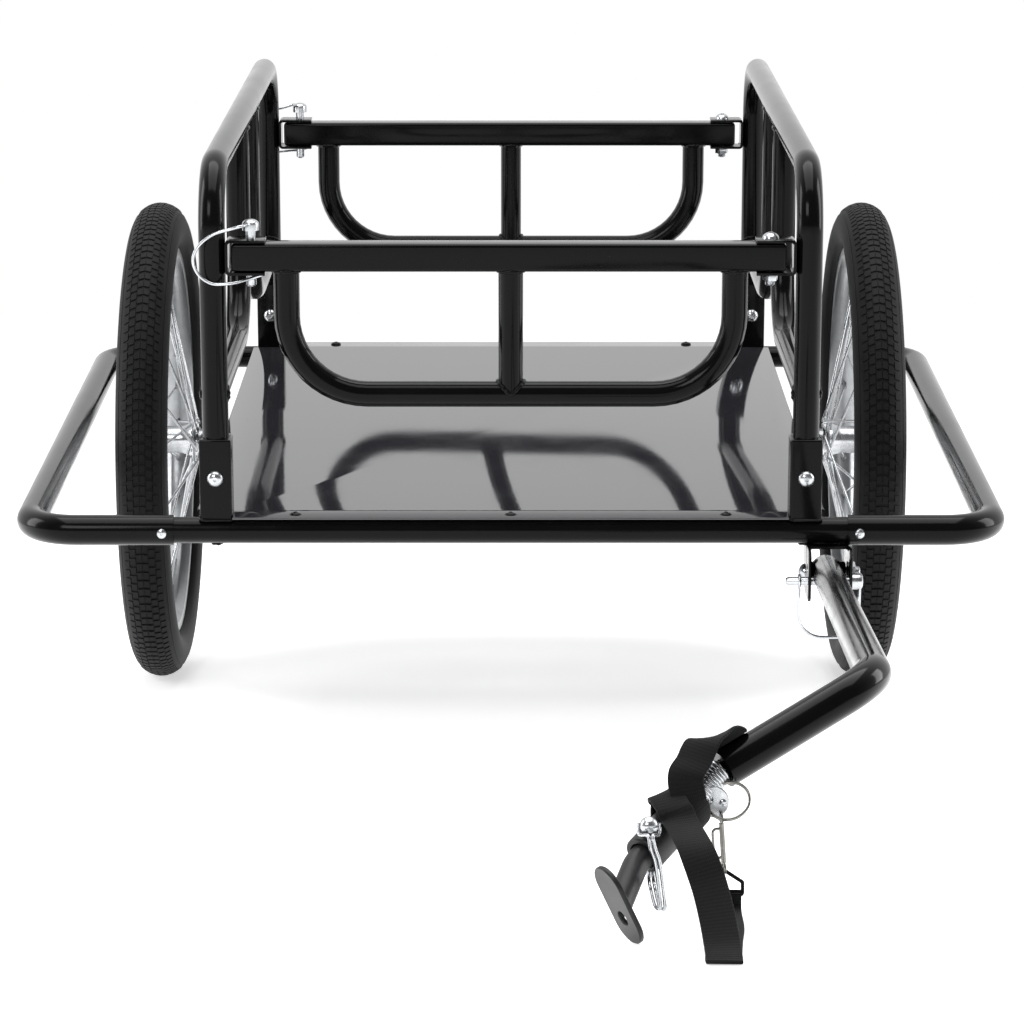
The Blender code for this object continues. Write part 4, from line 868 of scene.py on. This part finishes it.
def makeRim(side, way):
    body = bmesh.new()
    top, bed, half = wheel["rimRadius"], wheel["rimRadius"] - wheel["rimDepth"], wheel["rimWidth"] / 2
    profile = [(base + lift, half * share)
               for base, part in ((bed, rimBedOutside), (top, rimWall), (bed, rimBedInside))
               for lift, share in part]
    addTurned(body, profile + mirrored(profile[1:-1]), hubMiddle, rightward, 144, closed=True)
    nipple = bmesh.new()
    addTurned(nipple, nippleProfile, (0, 0, bed + 0.001), -upward, 12)
    addRing(body, nipple, wheel["spokes"], math.pi / wheel["spokes"], brightZinc, "nipples")
    addTurned(body, valveProfile, (0, 0, -bed + 0.001), upward, 20)
    finishPiece(body, "rimNipples_" + side, "wheel_" + side, rimAlloy, ["rim_" + side], onWheel(way), 30)


def makeHub(side, way):
    body = bmesh.new()
    end, mid, bore = wheel["hubLength"] / 2, wheel["flangeGap"] / 2, wheel["bore"]
    r, neck, barrel = wheel["flange"] / 2, wheel["neck"] / 2, wheel["barrel"] / 2
    half = [(bore, end), (neck * 0.8, end), (neck, end - 0.0008), (neck, mid + 0.0032),
            (neck + 0.002, mid + 0.0017), (r - 0.0008, mid + 0.0015), (r, mid + 0.0008), (r, mid - 0.0008),
            (r - 0.0008, mid - 0.0015), (barrel + 0.002, mid - 0.0016), (barrel, mid - 0.005),
            (barrel * 0.86, mid - 0.012)]
    addTurned(body, half + mirrored(half), hubMiddle, rightward, 64, closed=True)
    # Four spokes, two each side, leaning both ways and leaving the flange inside and outside by turns
    count = wheel["spokes"]
    hole, bed = r - wheel["holeInset"], wheel["rimRadius"] - wheel["rimDepth"] - wheel["rimInset"]
    lean = math.tau * wheel["crosses"] / count * 2
    laced = bmesh.new()
    for i in range(4):
        outside = 1 if i // 2 else -1
        atRim = math.tau * (i + 0.5) / count
        atHub = atRim + outside * lean
        flange = mid if i % 2 else -mid
        start = Vector((flange + outside * 0.0022, hole * math.cos(atHub), hole * math.sin(atHub)))
        far = Vector((0, bed * math.cos(atRim), bed * math.sin(atRim)))
        elbowSpot = start.lerp(far, 0.06) + rightward * outside * 0.0002
        addBar(laced, [start, elbowSpot, far], wheel["spoke"], 12)
        head = Vector((flange - outside * 0.0026, start.y, start.z))
        addBar(laced, [head, start + rightward * outside * 0.0008], wheel["spoke"] * wheel["headShare"], 12)
    addRing(body, laced, count // 4, 0.0, spokeSteel, "lacedSpokes")
    finishPiece(body, "hubLacing_" + side, "wheel_" + side, spokeSteel, ["hub_spokes_" + side], onWheel(way))


# Stub axles with cone, washer and nuts, and the slotted plates that carry them

axles = {"inner": 0.2212, "tip": 0.3236, "size": 0.010, "nut": 0.013, "nutHeight": 0.007, "tail": 0.0024,
         "washer": 0.0156, "washerSheet": 0.0009, "outerShare": 0.9, "outerGap": 0.0004,
         "cone": 0.014, "coneGap": 0.0036, "hubGap": 0.0006, "waistShare": 0.76, "endShare": 0.84,
         "plate": 0.223, "plateSheet": 0.003, "half": 0.030, "foot": 0.013, "top": 0.027, "low": -0.018,
         "slot": 0.0053, "edge": 0.0004}


def makeAxle(side, way):
    body = bmesh.new()
    low, high, right = axles["inner"], axles["tip"], Vector((way, 0, 0))
    hubNear, hubFar = (wheel["x"] + turn * wheel["hubLength"] / 2 for turn in (-1, 1))
    addTurned(body, [(axles["size"] / 2, 0), (axles["size"] / 2, high - low)], right * low, right, 32)
    addNut(body, right * low, -right, axles["nut"], axles["nutHeight"])
    washer = axles["washer"] / 2
    addTurned(body, [(washer, 0), (washer, axles["washerSheet"])], right * (low + 0.0001), -right, 36)
    addThread(body, right * (low - axles["nutHeight"]), -right, axles["size"], axles["tail"])
    addNut(body, right * (hubFar + axles["outerGap"]), right, axles["nut"] * axles["outerShare"],
           high - hubFar - 2 * axles["outerGap"])
    # The cone and its lock nut, with a waist between
    start, length = low + axles["coneGap"], hubNear - axles["hubGap"] - low - axles["coneGap"]
    r, step = axles["cone"] / 2, length / 5
    waist, end = r * axles["waistShare"], r * axles["endShare"]
    profile = [(end, 0), (r, 0.0006), (r, step), (waist, step + 0.0008), (waist, 4 * step - 0.0008),
               (r, 4 * step), (r, length - 0.0006), (end, length)]
    addTurned(body, profile, right * start, right, 36)
    finishPiece(body, "axleSet_" + side, "frame", brightZinc, ["axle_" + side, "wheel_plate_outer_" + side],
                sharp=30)


def makeWheelPlate(side, way):
    body = bmesh.new()
    half, foot, top, low, slot = (axles[k] for k in ("half", "foot", "top", "low", "slot"))
    arch = [(slot * math.cos(math.pi * i / 20), slot * math.sin(math.pi * i / 20)) for i in range(21)]
    outline = [(foot, low), (half, 0), (half, top), (-half, top), (-half, 0), (-foot, low), (-slot, low)]
    outline += arch[::-1] + [(slot, low)]
    place = frameAt((way * axles["plate"], 0, 0), rearward, upward)
    addPlate(body, outline, axles["plateSheet"], place, axles["edge"])
    finishPiece(body, "wheelPlate_" + side, "frame", blackPaint, ["wheel_plate_inner_" + side])


for side, way in sides:
    makeTyre(side, way)
    makeRim(side, way)
    makeHub(side, way)
    makeAxle(side, way)
    makeWheelPlate(side, way)
stage("wheels")


# Hitch bracket, pivot bolt and lock pin

hitch = {"x": 0.229, "y": -0.365, "z": -0.0155, "lockY": -0.391, "sheet": 0.002, "inside": 0.0275,
         "rear": 0.012, "depth": 0.0305, "tip": -0.4, "below": 0.0135, "top": 0.0082,
         "fold": 0.0034, "foldInside": 0.0014, "cheekLap": 0.0005, "cheekTop": 0.004, "cheekLow": 0.003,
         "bolt": 0.008, "nut": 0.013, "lock": 0.006, "lockTip": 0.0042, "lockTail": 0.014,
         "lockChamfer": 0.0018, "wire": 0.0022, "wireOut": 0.006, "wireDrop": 0.042, "wireBend": 0.0175,
         "eye": 0.0041, "eyeWire": 0.0021}
# The lock pin's head as radii and heights
lockHead = ((0.006, 0.0003), (0.006, 0.0058), (0.0055, 0.0072), (0.0038, 0.0081), (0.0015, 0.0082))
hitchInside = hitch["inside"] / 2
hitchOutside = hitchInside + hitch["sheet"]
pivot = Vector((hitch["x"], hitch["y"], hitch["z"]))


def makeHitchBracket():
    # A folded U of sheet with rounded folds, its two cheeks down
    body = bmesh.new()
    x, t, inside, outside = hitch["x"], hitch["sheet"], hitchInside, hitchOutside
    low, top = hitch["z"] - hitch["below"], hitch["top"]
    corners = [(-outside, low), (-outside, top), (outside, top), (outside, low), (inside, low),
               (inside, top - t), (-inside, top - t), (-inside, low)]
    out, turned = hitch["fold"], hitch["foldInside"]
    outline = roundedOutline(corners, (0, out, out, 0, 0, turned, turned, 0), 0.2)
    front = hitch["y"] + hitch["rear"] - hitch["depth"]
    addPlate(body, outline, hitch["depth"], frameAt((x, front + hitch["depth"] / 2, 0), rightward, upward))
    # The cheeks reach past the fold to carry the lock pin, with their corners cut
    near, far, cutTop, cutLow = front + hitch["cheekLap"], hitch["tip"], hitch["cheekTop"], hitch["cheekLow"]
    cheek = [(near, low), (near, top), (far + cutTop, top), (far, top - cutTop), (far, low + cutLow),
             (far + cutLow, low)]
    for way in (-1, 1):
        addPlate(body, cheek, t, frameAt((x + way * (inside + t / 2), 0, 0), rearward, upward))
    finishPiece(body, "hitchBracket", "frame", blackPaint, ["hitch_bracket"])


def makeHitchLock():
    # A pin with a flat head, an eye at its tail and a wire that hangs from one to the other
    body = bmesh.new()
    x, y, z, half, r = hitch["x"], hitch["lockY"], hitch["z"], hitchOutside, hitch["lock"] / 2
    tail = 2 * half + hitch["lockTail"]
    pin = [(r, 0), (r, tail), (hitch["lockTip"] / 2, tail + hitch["lockChamfer"])]
    addTurned(body, pin, (x + half, y, z), -rightward, 28)
    addTurned(body, lockHead, (x + half, y, z), rightward, 36)
    right, left, low = x + half + hitch["wireOut"], x - half - hitch["wireOut"], z - hitch["wireDrop"]
    wire = bent([(right, y, z), (right, y, low), (left, y, low), (left, y, z)], hitch["wireBend"])
    addBar(body, wire, hitch["wire"], 16)
    eye = onCircle(Vector((left, y, z)), rearward, upward, hitch["eye"], 24)
    addBar(body, eye, hitch["eyeWire"], 14, True)
    finishPiece(body, "hitchLockPin", "frame", brightZinc, ["hitch_lock_pin"])


makeHitchBracket()
makeBolt("hitchBolt", "hitch_pivot_bolt", pivot - rightward * hitchOutside, -rightward, 2 * hitchOutside,
         hitch["bolt"], hitch["nut"])
makeHitchLock()
stage("hitch bracket")


# Hitch arm, spring, sleeve, rod, plate and pin, with heights over the deck's top

def fromDeck(x, y, z):
    return Vector((x, y, z + deckTop))


arm = {"tube": 0.022, "bend": 0.036, "tail": 0.014, "cutBack": 0.0045,
       "bush": 0.015, "bushBore": 0.0062, "bushGap": 0.0003, "bushEdge": 0.0004, "weldSunk": 0.001,
       "weldBead": 0.0028, "elbow": (0.2085, -0.9239, 0.0411), "tip": (0.1159, -0.9705, -0.0013)}
spring = {"wire": 0.0018, "outer": 0.0168, "pitch": 0.0021, "core": 0.0122, "gap": 0.0003, "steps": 28,
          "lapShare": 1.22}
sleeve = {"rear": (0.1010, -0.9857, -0.0143), "front": (0.0730, -1.0230, -0.0319), "size": 0.0225,
          "bore": 0.0160, "depth": 0.030, "edge": 0.0008, "boreEdge": 0.0004, "core": 0.001,
          "pinInset": 0.007}
rod = {"size": 0.0145, "bend": 0.030, "inside": 0.026, "lead": 0.007, "past": 0.012,
       "plate": (0.0590, -1.0563, -0.0482), "length": 0.048, "width": 0.026, "sheet": 0.003,
       "roundShare": 0.96, "hole": 0.0085, "holeInset": 0.0162, "edge": 0.0005}
pin = {"above": 0.0222, "below": 0.020, "size": 0.006, "tip": 0.0044, "tipHeight": 0.0016, "ball": 0.0105,
       "clip": 0.0021, "clipGap": 0.0025, "clipLow": 0.0022}
elbow, armTip = fromDeck(*arm["elbow"]), fromDeck(*arm["tip"])
sleeveRear, sleeveFront = fromDeck(*sleeve["rear"]), fromDeck(*sleeve["front"])
plateCentre = fromDeck(*rod["plate"])
first = (elbow - pivot).normalized()
second = (armTip - elbow).normalized()
alongSleeve = (sleeveFront - sleeveRear).normalized()
armEnd = armTip - second * arm["cutBack"]
pinAxis = Vector((-0.051, -0.395, 0.917)).normalized()
plateDown = Vector((0.42, 0.0, -0.91)).normalized()
plateFace = Vector((-0.808, -0.460, -0.373)).normalized()
coreStart, coreEnd = armEnd + second * spring["gap"], sleeveRear - alongSleeve * spring["gap"]
coreLength = (coreEnd - coreStart).length


def makeArm():
    body = bmesh.new()
    addBar(body, bent([pivot - first * arm["tail"], elbow, armEnd], arm["bend"]), arm["tube"], 40)
    half, r, edge, bore = hitchInside - arm["bushGap"], arm["bush"] / 2, arm["bushEdge"], arm["bushBore"]
    end = [(r, half - edge), (r - edge, half), (bore, half)]
    bush = mirrored(end) + end
    addTurned(body, bush, pivot, rightward, 40, closed=True)
    big = arm["tube"] - arm["weldSunk"]
    for way in (-1, 1):
        addWeld(body, pivot, rightward * way, first, arm["bush"], big, arm["weldBead"])
    finishPiece(body, "towArm", "hitch", blackPaint, ["hitch_arm"], sharp=50)


def coreAt(t):
    # Place and way on the spring's middle, which leaves the arm and meets the sleeve along their axes
    reach = coreLength / 3
    spots = (coreStart, coreStart + second * reach, coreEnd - alongSleeve * reach, coreEnd)
    near = [a.lerp(b, t) for a, b in zip(spots, spots[1:])]
    last = [a.lerp(b, t) for a, b in zip(near, near[1:])]
    return last[0].lerp(last[1], t), (last[1] - last[0]).normalized()


def makeSpring():
    core = bmesh.new()
    addBar(core, [coreAt(i / 24)[0] for i in range(25)], spring["core"])
    finishPiece(core, "springCore", "hitch", blackPaint, ["spring_core"], sharp=50)
    body = bmesh.new()
    wire, gap, steps = spring["wire"], spring["gap"], spring["steps"]
    total = int((coreLength - wire - 2 * gap) / spring["pitch"]) * steps
    margin = (wire / 2 + gap) / coreLength
    radius = (spring["outer"] - wire) / 2
    route = []
    for i in range(total + 1):
        spot, way = coreAt(margin + (1 - 2 * margin) * i / total)
        across = way.cross(upward).normalized()
        angle = math.tau * i / steps
        route.append(spot + (across * math.cos(angle) + way.cross(across) * math.sin(angle)) * radius)
    addBar(body, route, wire * spring["lapShare"], 14)
    finishPiece(body, "closeWoundSpring", "hitch", brightZinc, ["coupling_spring"], sharp=60)


def makeSleeve():
    body = bmesh.new()
    length, r, bore = (sleeveFront - sleeveRear).length, sleeve["size"] / 2, sleeve["bore"] / 2
    edge, lip, floor, core = sleeve["edge"], sleeve["boreEdge"], length - sleeve["depth"], sleeve["core"]
    profile = [(core, 0), (r - edge, 0), (r, edge), (r, length - edge), (r - edge, length),
               (bore + lip, length), (bore, length - lip), (bore, floor), (core, floor)]
    addTurned(body, profile, sleeveRear, alongSleeve, 56)
    finishPiece(body, "couplingSleeve", "hitch", satinPaint, ["coupling_sleeve"])


def edgeDistance(outline, hole, way):
    # How far the outline is from the hole's middle that way
    best = 0
    for (x0, y0), (x1, y1) in zip(outline, outline[1:] + outline[:1]):
        p, q = Vector((x0 - hole[0], y0 - hole[1])), Vector((x1 - hole[0], y1 - hole[1]))
        s = q - p
        den = way.x * s.y - way.y * s.x
        if abs(den) > 1e-12:
            t, u = (p.x * s.y - p.y * s.x) / den, (p.x * way.y - p.y * way.x) / den
            if t > 0 and -1e-6 <= u <= 1 + 1e-6:
                best = max(best, t)
    return best


def addHoledPlate(body, outline, hole, radius, thickness, place):
    # Rings from the outline in to a round hole, on both faces, with broken edges
    ways = [p.xy for p in onCircle(Vector(), rightward, rearward, 1, 96)]
    far = [edgeDistance(outline, hole, way) for way in ways]
    near = [radius] * len(ways)
    edge, h = rod["edge"], thickness / 2
    loop = ((near, edge, h), (far, -edge, h), (far, 0.0, h - edge), (far, 0.0, edge - h), (far, -edge, -h),
            (near, edge, -h), (near, 0.0, edge - h), (near, 0.0, h - edge))
    rings = []
    for radii, shift, z in loop:
        spots = [Vector((hole[0] + way.x * (r + shift), hole[1] + way.y * (r + shift), z))
                 for way, r in zip(ways, radii)]
        rings.append([body.verts.new(place @ spot) for spot in spots])
    skinRings(body, rings, True, False)


def makeRod():
    # A round rod bent to the plate and cut on its face, and the holed plate
    body = bmesh.new()
    lead = sleeveFront + alongSleeve * rod["lead"]
    stop = plateCentre + (plateCentre - lead).normalized() * rod["past"]
    addBar(body, bent([sleeveFront - alongSleeve * rod["inside"], lead, stop], rod["bend"]), rod["size"], 36)
    bmesh.ops.bisect_plane(body, geom=body.verts[:] + body.edges[:] + body.faces[:], dist=0.00001,
                           plane_co=plateCentre, plane_no=plateFace, clear_outer=True)
    across = plateDown.cross(plateFace).normalized()
    half, tall = rod["width"] / 2, rod["length"] / 2
    addHoledPlate(body, roundedBox(half, tall, half * rod["roundShare"]), (0.0, tall - rod["holeInset"]),
                  rod["hole"] / 2, rod["sheet"], frameAt(plateCentre, across, plateDown))
    finishPiece(body, "rodAndPlate", "hitch", satinPaint, ["coupling_rod"], sharp=45)


# The clip's two steps beside the ball, from its middle, and the route of both wires below it
clipTop = ((0.0060, 0.0, 0.0015), (0.0052, -0.002, -0.0045))
clipRoute = ((0.0763, -1.0410, -0.0141), (0.0776, -1.0410, -0.0210), (0.0802, -1.0410, -0.0293),
             (0.0820, -1.0410, -0.0425), (0.0832, -1.0410, -0.0527), (0.0829, -1.0395, -0.0568),
             (0.0802, -1.0380, -0.0549), (0.0774, -1.0360, -0.0430))


def makeCouplingPin():
    body = bmesh.new()
    spot, half, r = sleeveFront - alongSleeve * sleeve["pinInset"], pin["ball"] / 2, pin["size"] / 2
    ballSpot, low = spot + pinAxis * (pin["above"] - half), spot - pinAxis * pin["below"]
    ball = [(half * math.sin(math.pi * (i + 0.5) / 16), half * math.cos(math.pi * (i + 0.5) / 16))
            for i in range(15)]
    addTurned(body, ball, ballSpot, -pinAxis, 32)
    shank = [(pin["tip"] / 2, 0), (r, pin["tipHeight"]), (r, (ballSpot - low).length)]
    addTurned(body, shank, low, pinAxis, 28)
    # The clip: two wires hold the ball, run down side by side and turn back to the pin's lower end
    for way in (-1, 1):
        apart = rightward * way * pin["clipGap"] / 2
        wire = [ballSpot + Vector((way * x, y, z)) for x, y, z in clipTop]
        wire += [fromDeck(*p) + apart for p in clipRoute] + [low + pinAxis * pin["clipLow"] + apart]
        addBar(body, smooth(wire, 5), pin["clip"], 14)
    finishPiece(body, "couplingPin", "hitch", brightZinc, ["coupling_pin"], sharp=50)


makeArm()
makeSpring()
makeSleeve()
makeRod()
makeCouplingPin()
stage("hitch arm and coupling")


# Tab, split ring, snap hook and the strap's ring

chain = {"tab": (0.1132, -0.9835, -0.0138), "tabRadius": 0.0092, "tabHole": 0.0052, "tabSheet": 0.002,
         "tabRoundShare": 0.96, "holeShift": (-0.0026, 0.0012), "rivet": (0.1190, -0.0140),
         "ring": 0.0118, "ringWire": 0.0023, "ringSpot": (0.1222, -0.9850, -0.0128), "ringWireShare": 0.62,
         "hookTop": (0.1179, -0.9850, -0.0225), "hookLow": (0.1200, -0.9850, -0.0520),
         "shank": 0.0030, "shankTop": 0.0034, "shankLow": 0.0030, "hookWire": 0.0016, "eye": 0.0030,
         "loopWidth": 0.0054, "loopHigh": 0.22, "loopLow": 0.80, "loopBendShare": 0.45,
         "buckleTop": (0.1199, -0.9850, -0.0535), "buckleHalf": 0.0107, "shoulder": 0.0072,
         "buckleDrop": 0.0148, "buckleWire": 0.0022, "buckleCorner": 0.0016}
rivetProfile = ((0.0021, 0), (0.0021, 0.0004), (0.0014, 0.0010), (0.0005, 0.0012))
tabSpot, ringSpot, hookTop, hookLow, buckleTop = (
    fromDeck(*chain[k]) for k in ("tab", "ringSpot", "hookTop", "hookLow", "buckleTop"))
hang = (hookLow - hookTop).normalized()
ringRight = Vector((1, 0.10, 0)).normalized()
ringUp = Vector((0.10, 0.70, 0.714)).normalized()
hookSide = Vector((1.0, 0.2, 0.0)).normalized()


def makeTab():
    body = bmesh.new()
    r = chain["tabRadius"]
    outline = roundedBox(r, r, r * chain["tabRoundShare"])
    addHoledPlate(body, outline, chain["holeShift"], chain["tabHole"] / 2, chain["tabSheet"],
                  frameAt(tabSpot, rightward, upward))
    rivetX, rivetZ = chain["rivet"]
    rivetSpot = (rivetX, tabSpot.y - chain["tabSheet"] / 2, rivetZ + deckTop)
    addTurned(body, rivetProfile, rivetSpot, -rearward, 20)
    finishPiece(body, "springTab", "hitch", brightZinc, ["spring_tab"])


def makeSplitRing():
    # Nearly two turns of wire, one over the other
    body = bmesh.new()
    count = 96
    rise = ringRight.cross(ringUp).normalized() * chain["ringWire"] / 2
    turn = onCircle(ringSpot, ringRight, ringUp, chain["ring"], count)
    route = [turn[i % count] + rise * (i / count - 1) for i in range(2 * count - 6)]
    addBar(body, route, chain["ringWire"] * chain["ringWireShare"], 12)
    finishPiece(body, "splitRing", "hitch", nickel, ["split_ring"], sharp=60)


def makeSnapHook():
    # A straight shank with an eye at each end, and a sprung loop at its side
    body = bmesh.new()
    wire, side = chain["hookWire"], hookSide * chain["loopWidth"]
    addBar(body, [hookTop + hang * chain["shankTop"], hookLow - hang * chain["shankLow"]], chain["shank"], 16)
    for spot in (hookTop, hookLow):
        addBar(body, onCircle(spot, upward.cross(hookSide), hang, chain["eye"], 32), wire, 12, True)
    high, low = hookTop.lerp(hookLow, chain["loopHigh"]), hookTop.lerp(hookLow, chain["loopLow"])
    loop = bentRing([high - side, high, low, low - side], chain["loopWidth"] * chain["loopBendShare"])
    addBar(body, loop, wire, 14, True)
    finishPiece(body, "snapHook", "hitch", nickel, ["snap_hook"], sharp=50)


def makeStrapRing():
    # It slopes from its top to two shoulders and is straight where the strap goes round
    body = bmesh.new()
    half, drop, shoulder = chain["buckleHalf"], chain["buckleDrop"], chain["shoulder"]
    corners = [buckleTop + Vector((x, 0, -z)) for x, z in (
        (0, 0), (half, shoulder), (half, drop), (-half, drop), (-half, shoulder))]
    addBar(body, bentRing(corners, chain["buckleCorner"]), chain["buckleWire"], 16, True)
    finishPiece(body, "strapRing", "hitch", blackPaint, ["strap_ring"], sharp=60)


makeTab()
makeSplitRing()
makeSnapHook()
makeStrapRing()
stage("tab, rings and hook")


# Safety strap: flat webbing wound on the arm, laid over the sleeve to the floor and back to its ring

strapSizes = {"width": 0.020, "thick": 0.0018, "steps": 6, "edgeShare": 0.8}
# Places on the webbing's middle and the way that it is wide there, once parked
strapRoute = (
    ((0.12837, -0.53352, 0.08442), (0.8268, 0.3567, 0.4349)),
    ((0.12486, -0.53431, 0.09176), (0.8268, 0.3567, 0.4349)),
    ((0.12400, -0.53973, 0.09783), (0.8268, 0.3567, 0.4349)),
    ((0.12412, -0.54750, 0.10065), (0.8656, 0.3283, 0.3781)),
    ((0.11573, -0.55650, 0.10239), (0.9557, 0.1866, 0.2275)),
    ((0.10741, -0.56600, 0.10053), (0.9842, 0.0500, 0.1699)),
    ((0.10206, -0.57350, 0.09191), (0.9950, 0.0000, 0.1000)),
    ((0.09707, -0.58000, 0.08375), (0.9996, 0.0000, 0.0300)),
    ((0.09979, -0.58299, 0.06964), (0.9462, 0.2696, 0.1791)),
    ((0.10395, -0.58174, 0.06265), (0.7003, 0.5946, 0.3951)),
    ((0.10504, -0.57622, 0.05410), (0.5617, 0.6891, 0.4579)),
    ((0.10005, -0.56896, 0.04930), (0.5617, 0.6891, 0.4579)),
    ((0.09184, -0.56354, 0.05121), (0.5617, 0.6891, 0.4579)),
    ((0.08521, -0.56313, 0.05872), (0.5617, 0.6891, 0.4579)),
    ((0.08385, -0.56724, 0.06657), (0.5617, 0.6891, 0.4579)),
    ((0.08512, -0.57069, 0.07239), (0.7343, 0.5654, 0.3757)),
    ((0.08587, -0.58031, 0.07393), (0.8837, 0.3899, 0.2591)),
    ((0.09014, -0.59107, 0.06852), (0.9615, 0.2289, 0.1521)),
    ((0.09384, -0.59682, 0.06172), (0.9913, 0.1097, 0.0729)),
    ((0.10045, -0.62630, 0.05300), (1.0000, 0.0000, 0.0000)),
    ((0.10699, -0.63757, 0.03600), (1.0000, 0.0000, 0.0000)),
    ((0.11098, -0.64991, 0.02050), (1.0000, 0.0000, 0.0000)),
    ((0.11302, -0.66245, 0.00850), (1.0000, 0.0000, 0.0000)),
    ((0.11354, -0.67523, 0.00320), (1.0000, 0.0000, 0.0000)),
    ((0.11344, -0.67893, 0.00160), (1.0000, 0.0000, 0.0000)),
    ((0.11374, -0.66693, 0.00140), (1.0000, 0.0000, 0.0000)),
    ((0.11644, -0.62893, 0.00140), (1.0000, 0.0000, 0.0000)),
    ((0.11944, -0.59393, 0.00200), (1.0000, 0.0000, 0.0000)),
    ((0.11993, -0.56017, 0.00443), (1.0000, 0.0000, 0.0000)),
    ((0.11993, -0.55793, 0.01211), (1.0000, 0.0000, 0.0000)),
    ((0.11993, -0.55687, 0.01085), (1.0000, 0.0000, 0.0000)),
    ((0.11993, -0.55526, 0.01057), (1.0000, 0.0000, 0.0000)),
    ((0.11993, -0.55384, 0.01139), (1.0000, 0.0000, 0.0000)),
    ((0.11993, -0.55327, 0.01293), (1.0000, 0.0000, 0.0000)),
    ((0.11993, -0.55384, 0.01447), (1.0000, 0.0000, 0.0000)),
    ((0.11993, -0.55447, 0.00543), (1.0000, 0.0000, 0.0000)),
)


def makeStrap():
    steps = strapSizes["steps"]
    spots = smooth([spot for spot, across in strapRoute], steps)
    widths = smooth([across for spot, across in strapRoute], steps)
    half, thick = strapSizes["width"] / 2, strapSizes["thick"] / 2
    edge = thick * strapSizes["edgeShare"]
    corner = [(half - edge, thick), (half - edge * 0.3, thick * 0.7), (half, 0.0)]
    right = corner + [(x, -z) for x, z in corner[1::-1]]
    section = [(-half + edge, thick)] + right + [(-x, z) for x, z in right[:0:-1]]
    body = bmesh.new()
    layer = body.loops.layers.uv.new("weave")
    rings, where, length = [], {}, 0.0
    for i, (spot, across) in enumerate(zip(spots, widths)):
        before, after = spots[max(0, i - 1)], spots[min(len(spots) - 1, i + 1)]
        along = (after - before).normalized()
        across = (across - along * across.dot(along)).normalized()
        up = across.cross(along)
        length += (spot - before).length
        rings.append([body.verts.new(spot + across * x + up * z) for x, z in section])
        for vertex, (x, z) in zip(rings[-1], section):
            where[vertex] = (x + half, length)
    skinRings(body, rings, False, True)
    for face in body.faces:
        for loop in face.loops:
            loop[layer].uv = where[loop.vert]
    strap = finishPiece(body, "webbingStrap", "hitch", webbing, ["safety_strap"], Matrix.Identity(4), 60)
    print("scene: strap length", round(length, 4))


makeStrap()
stage("strap")
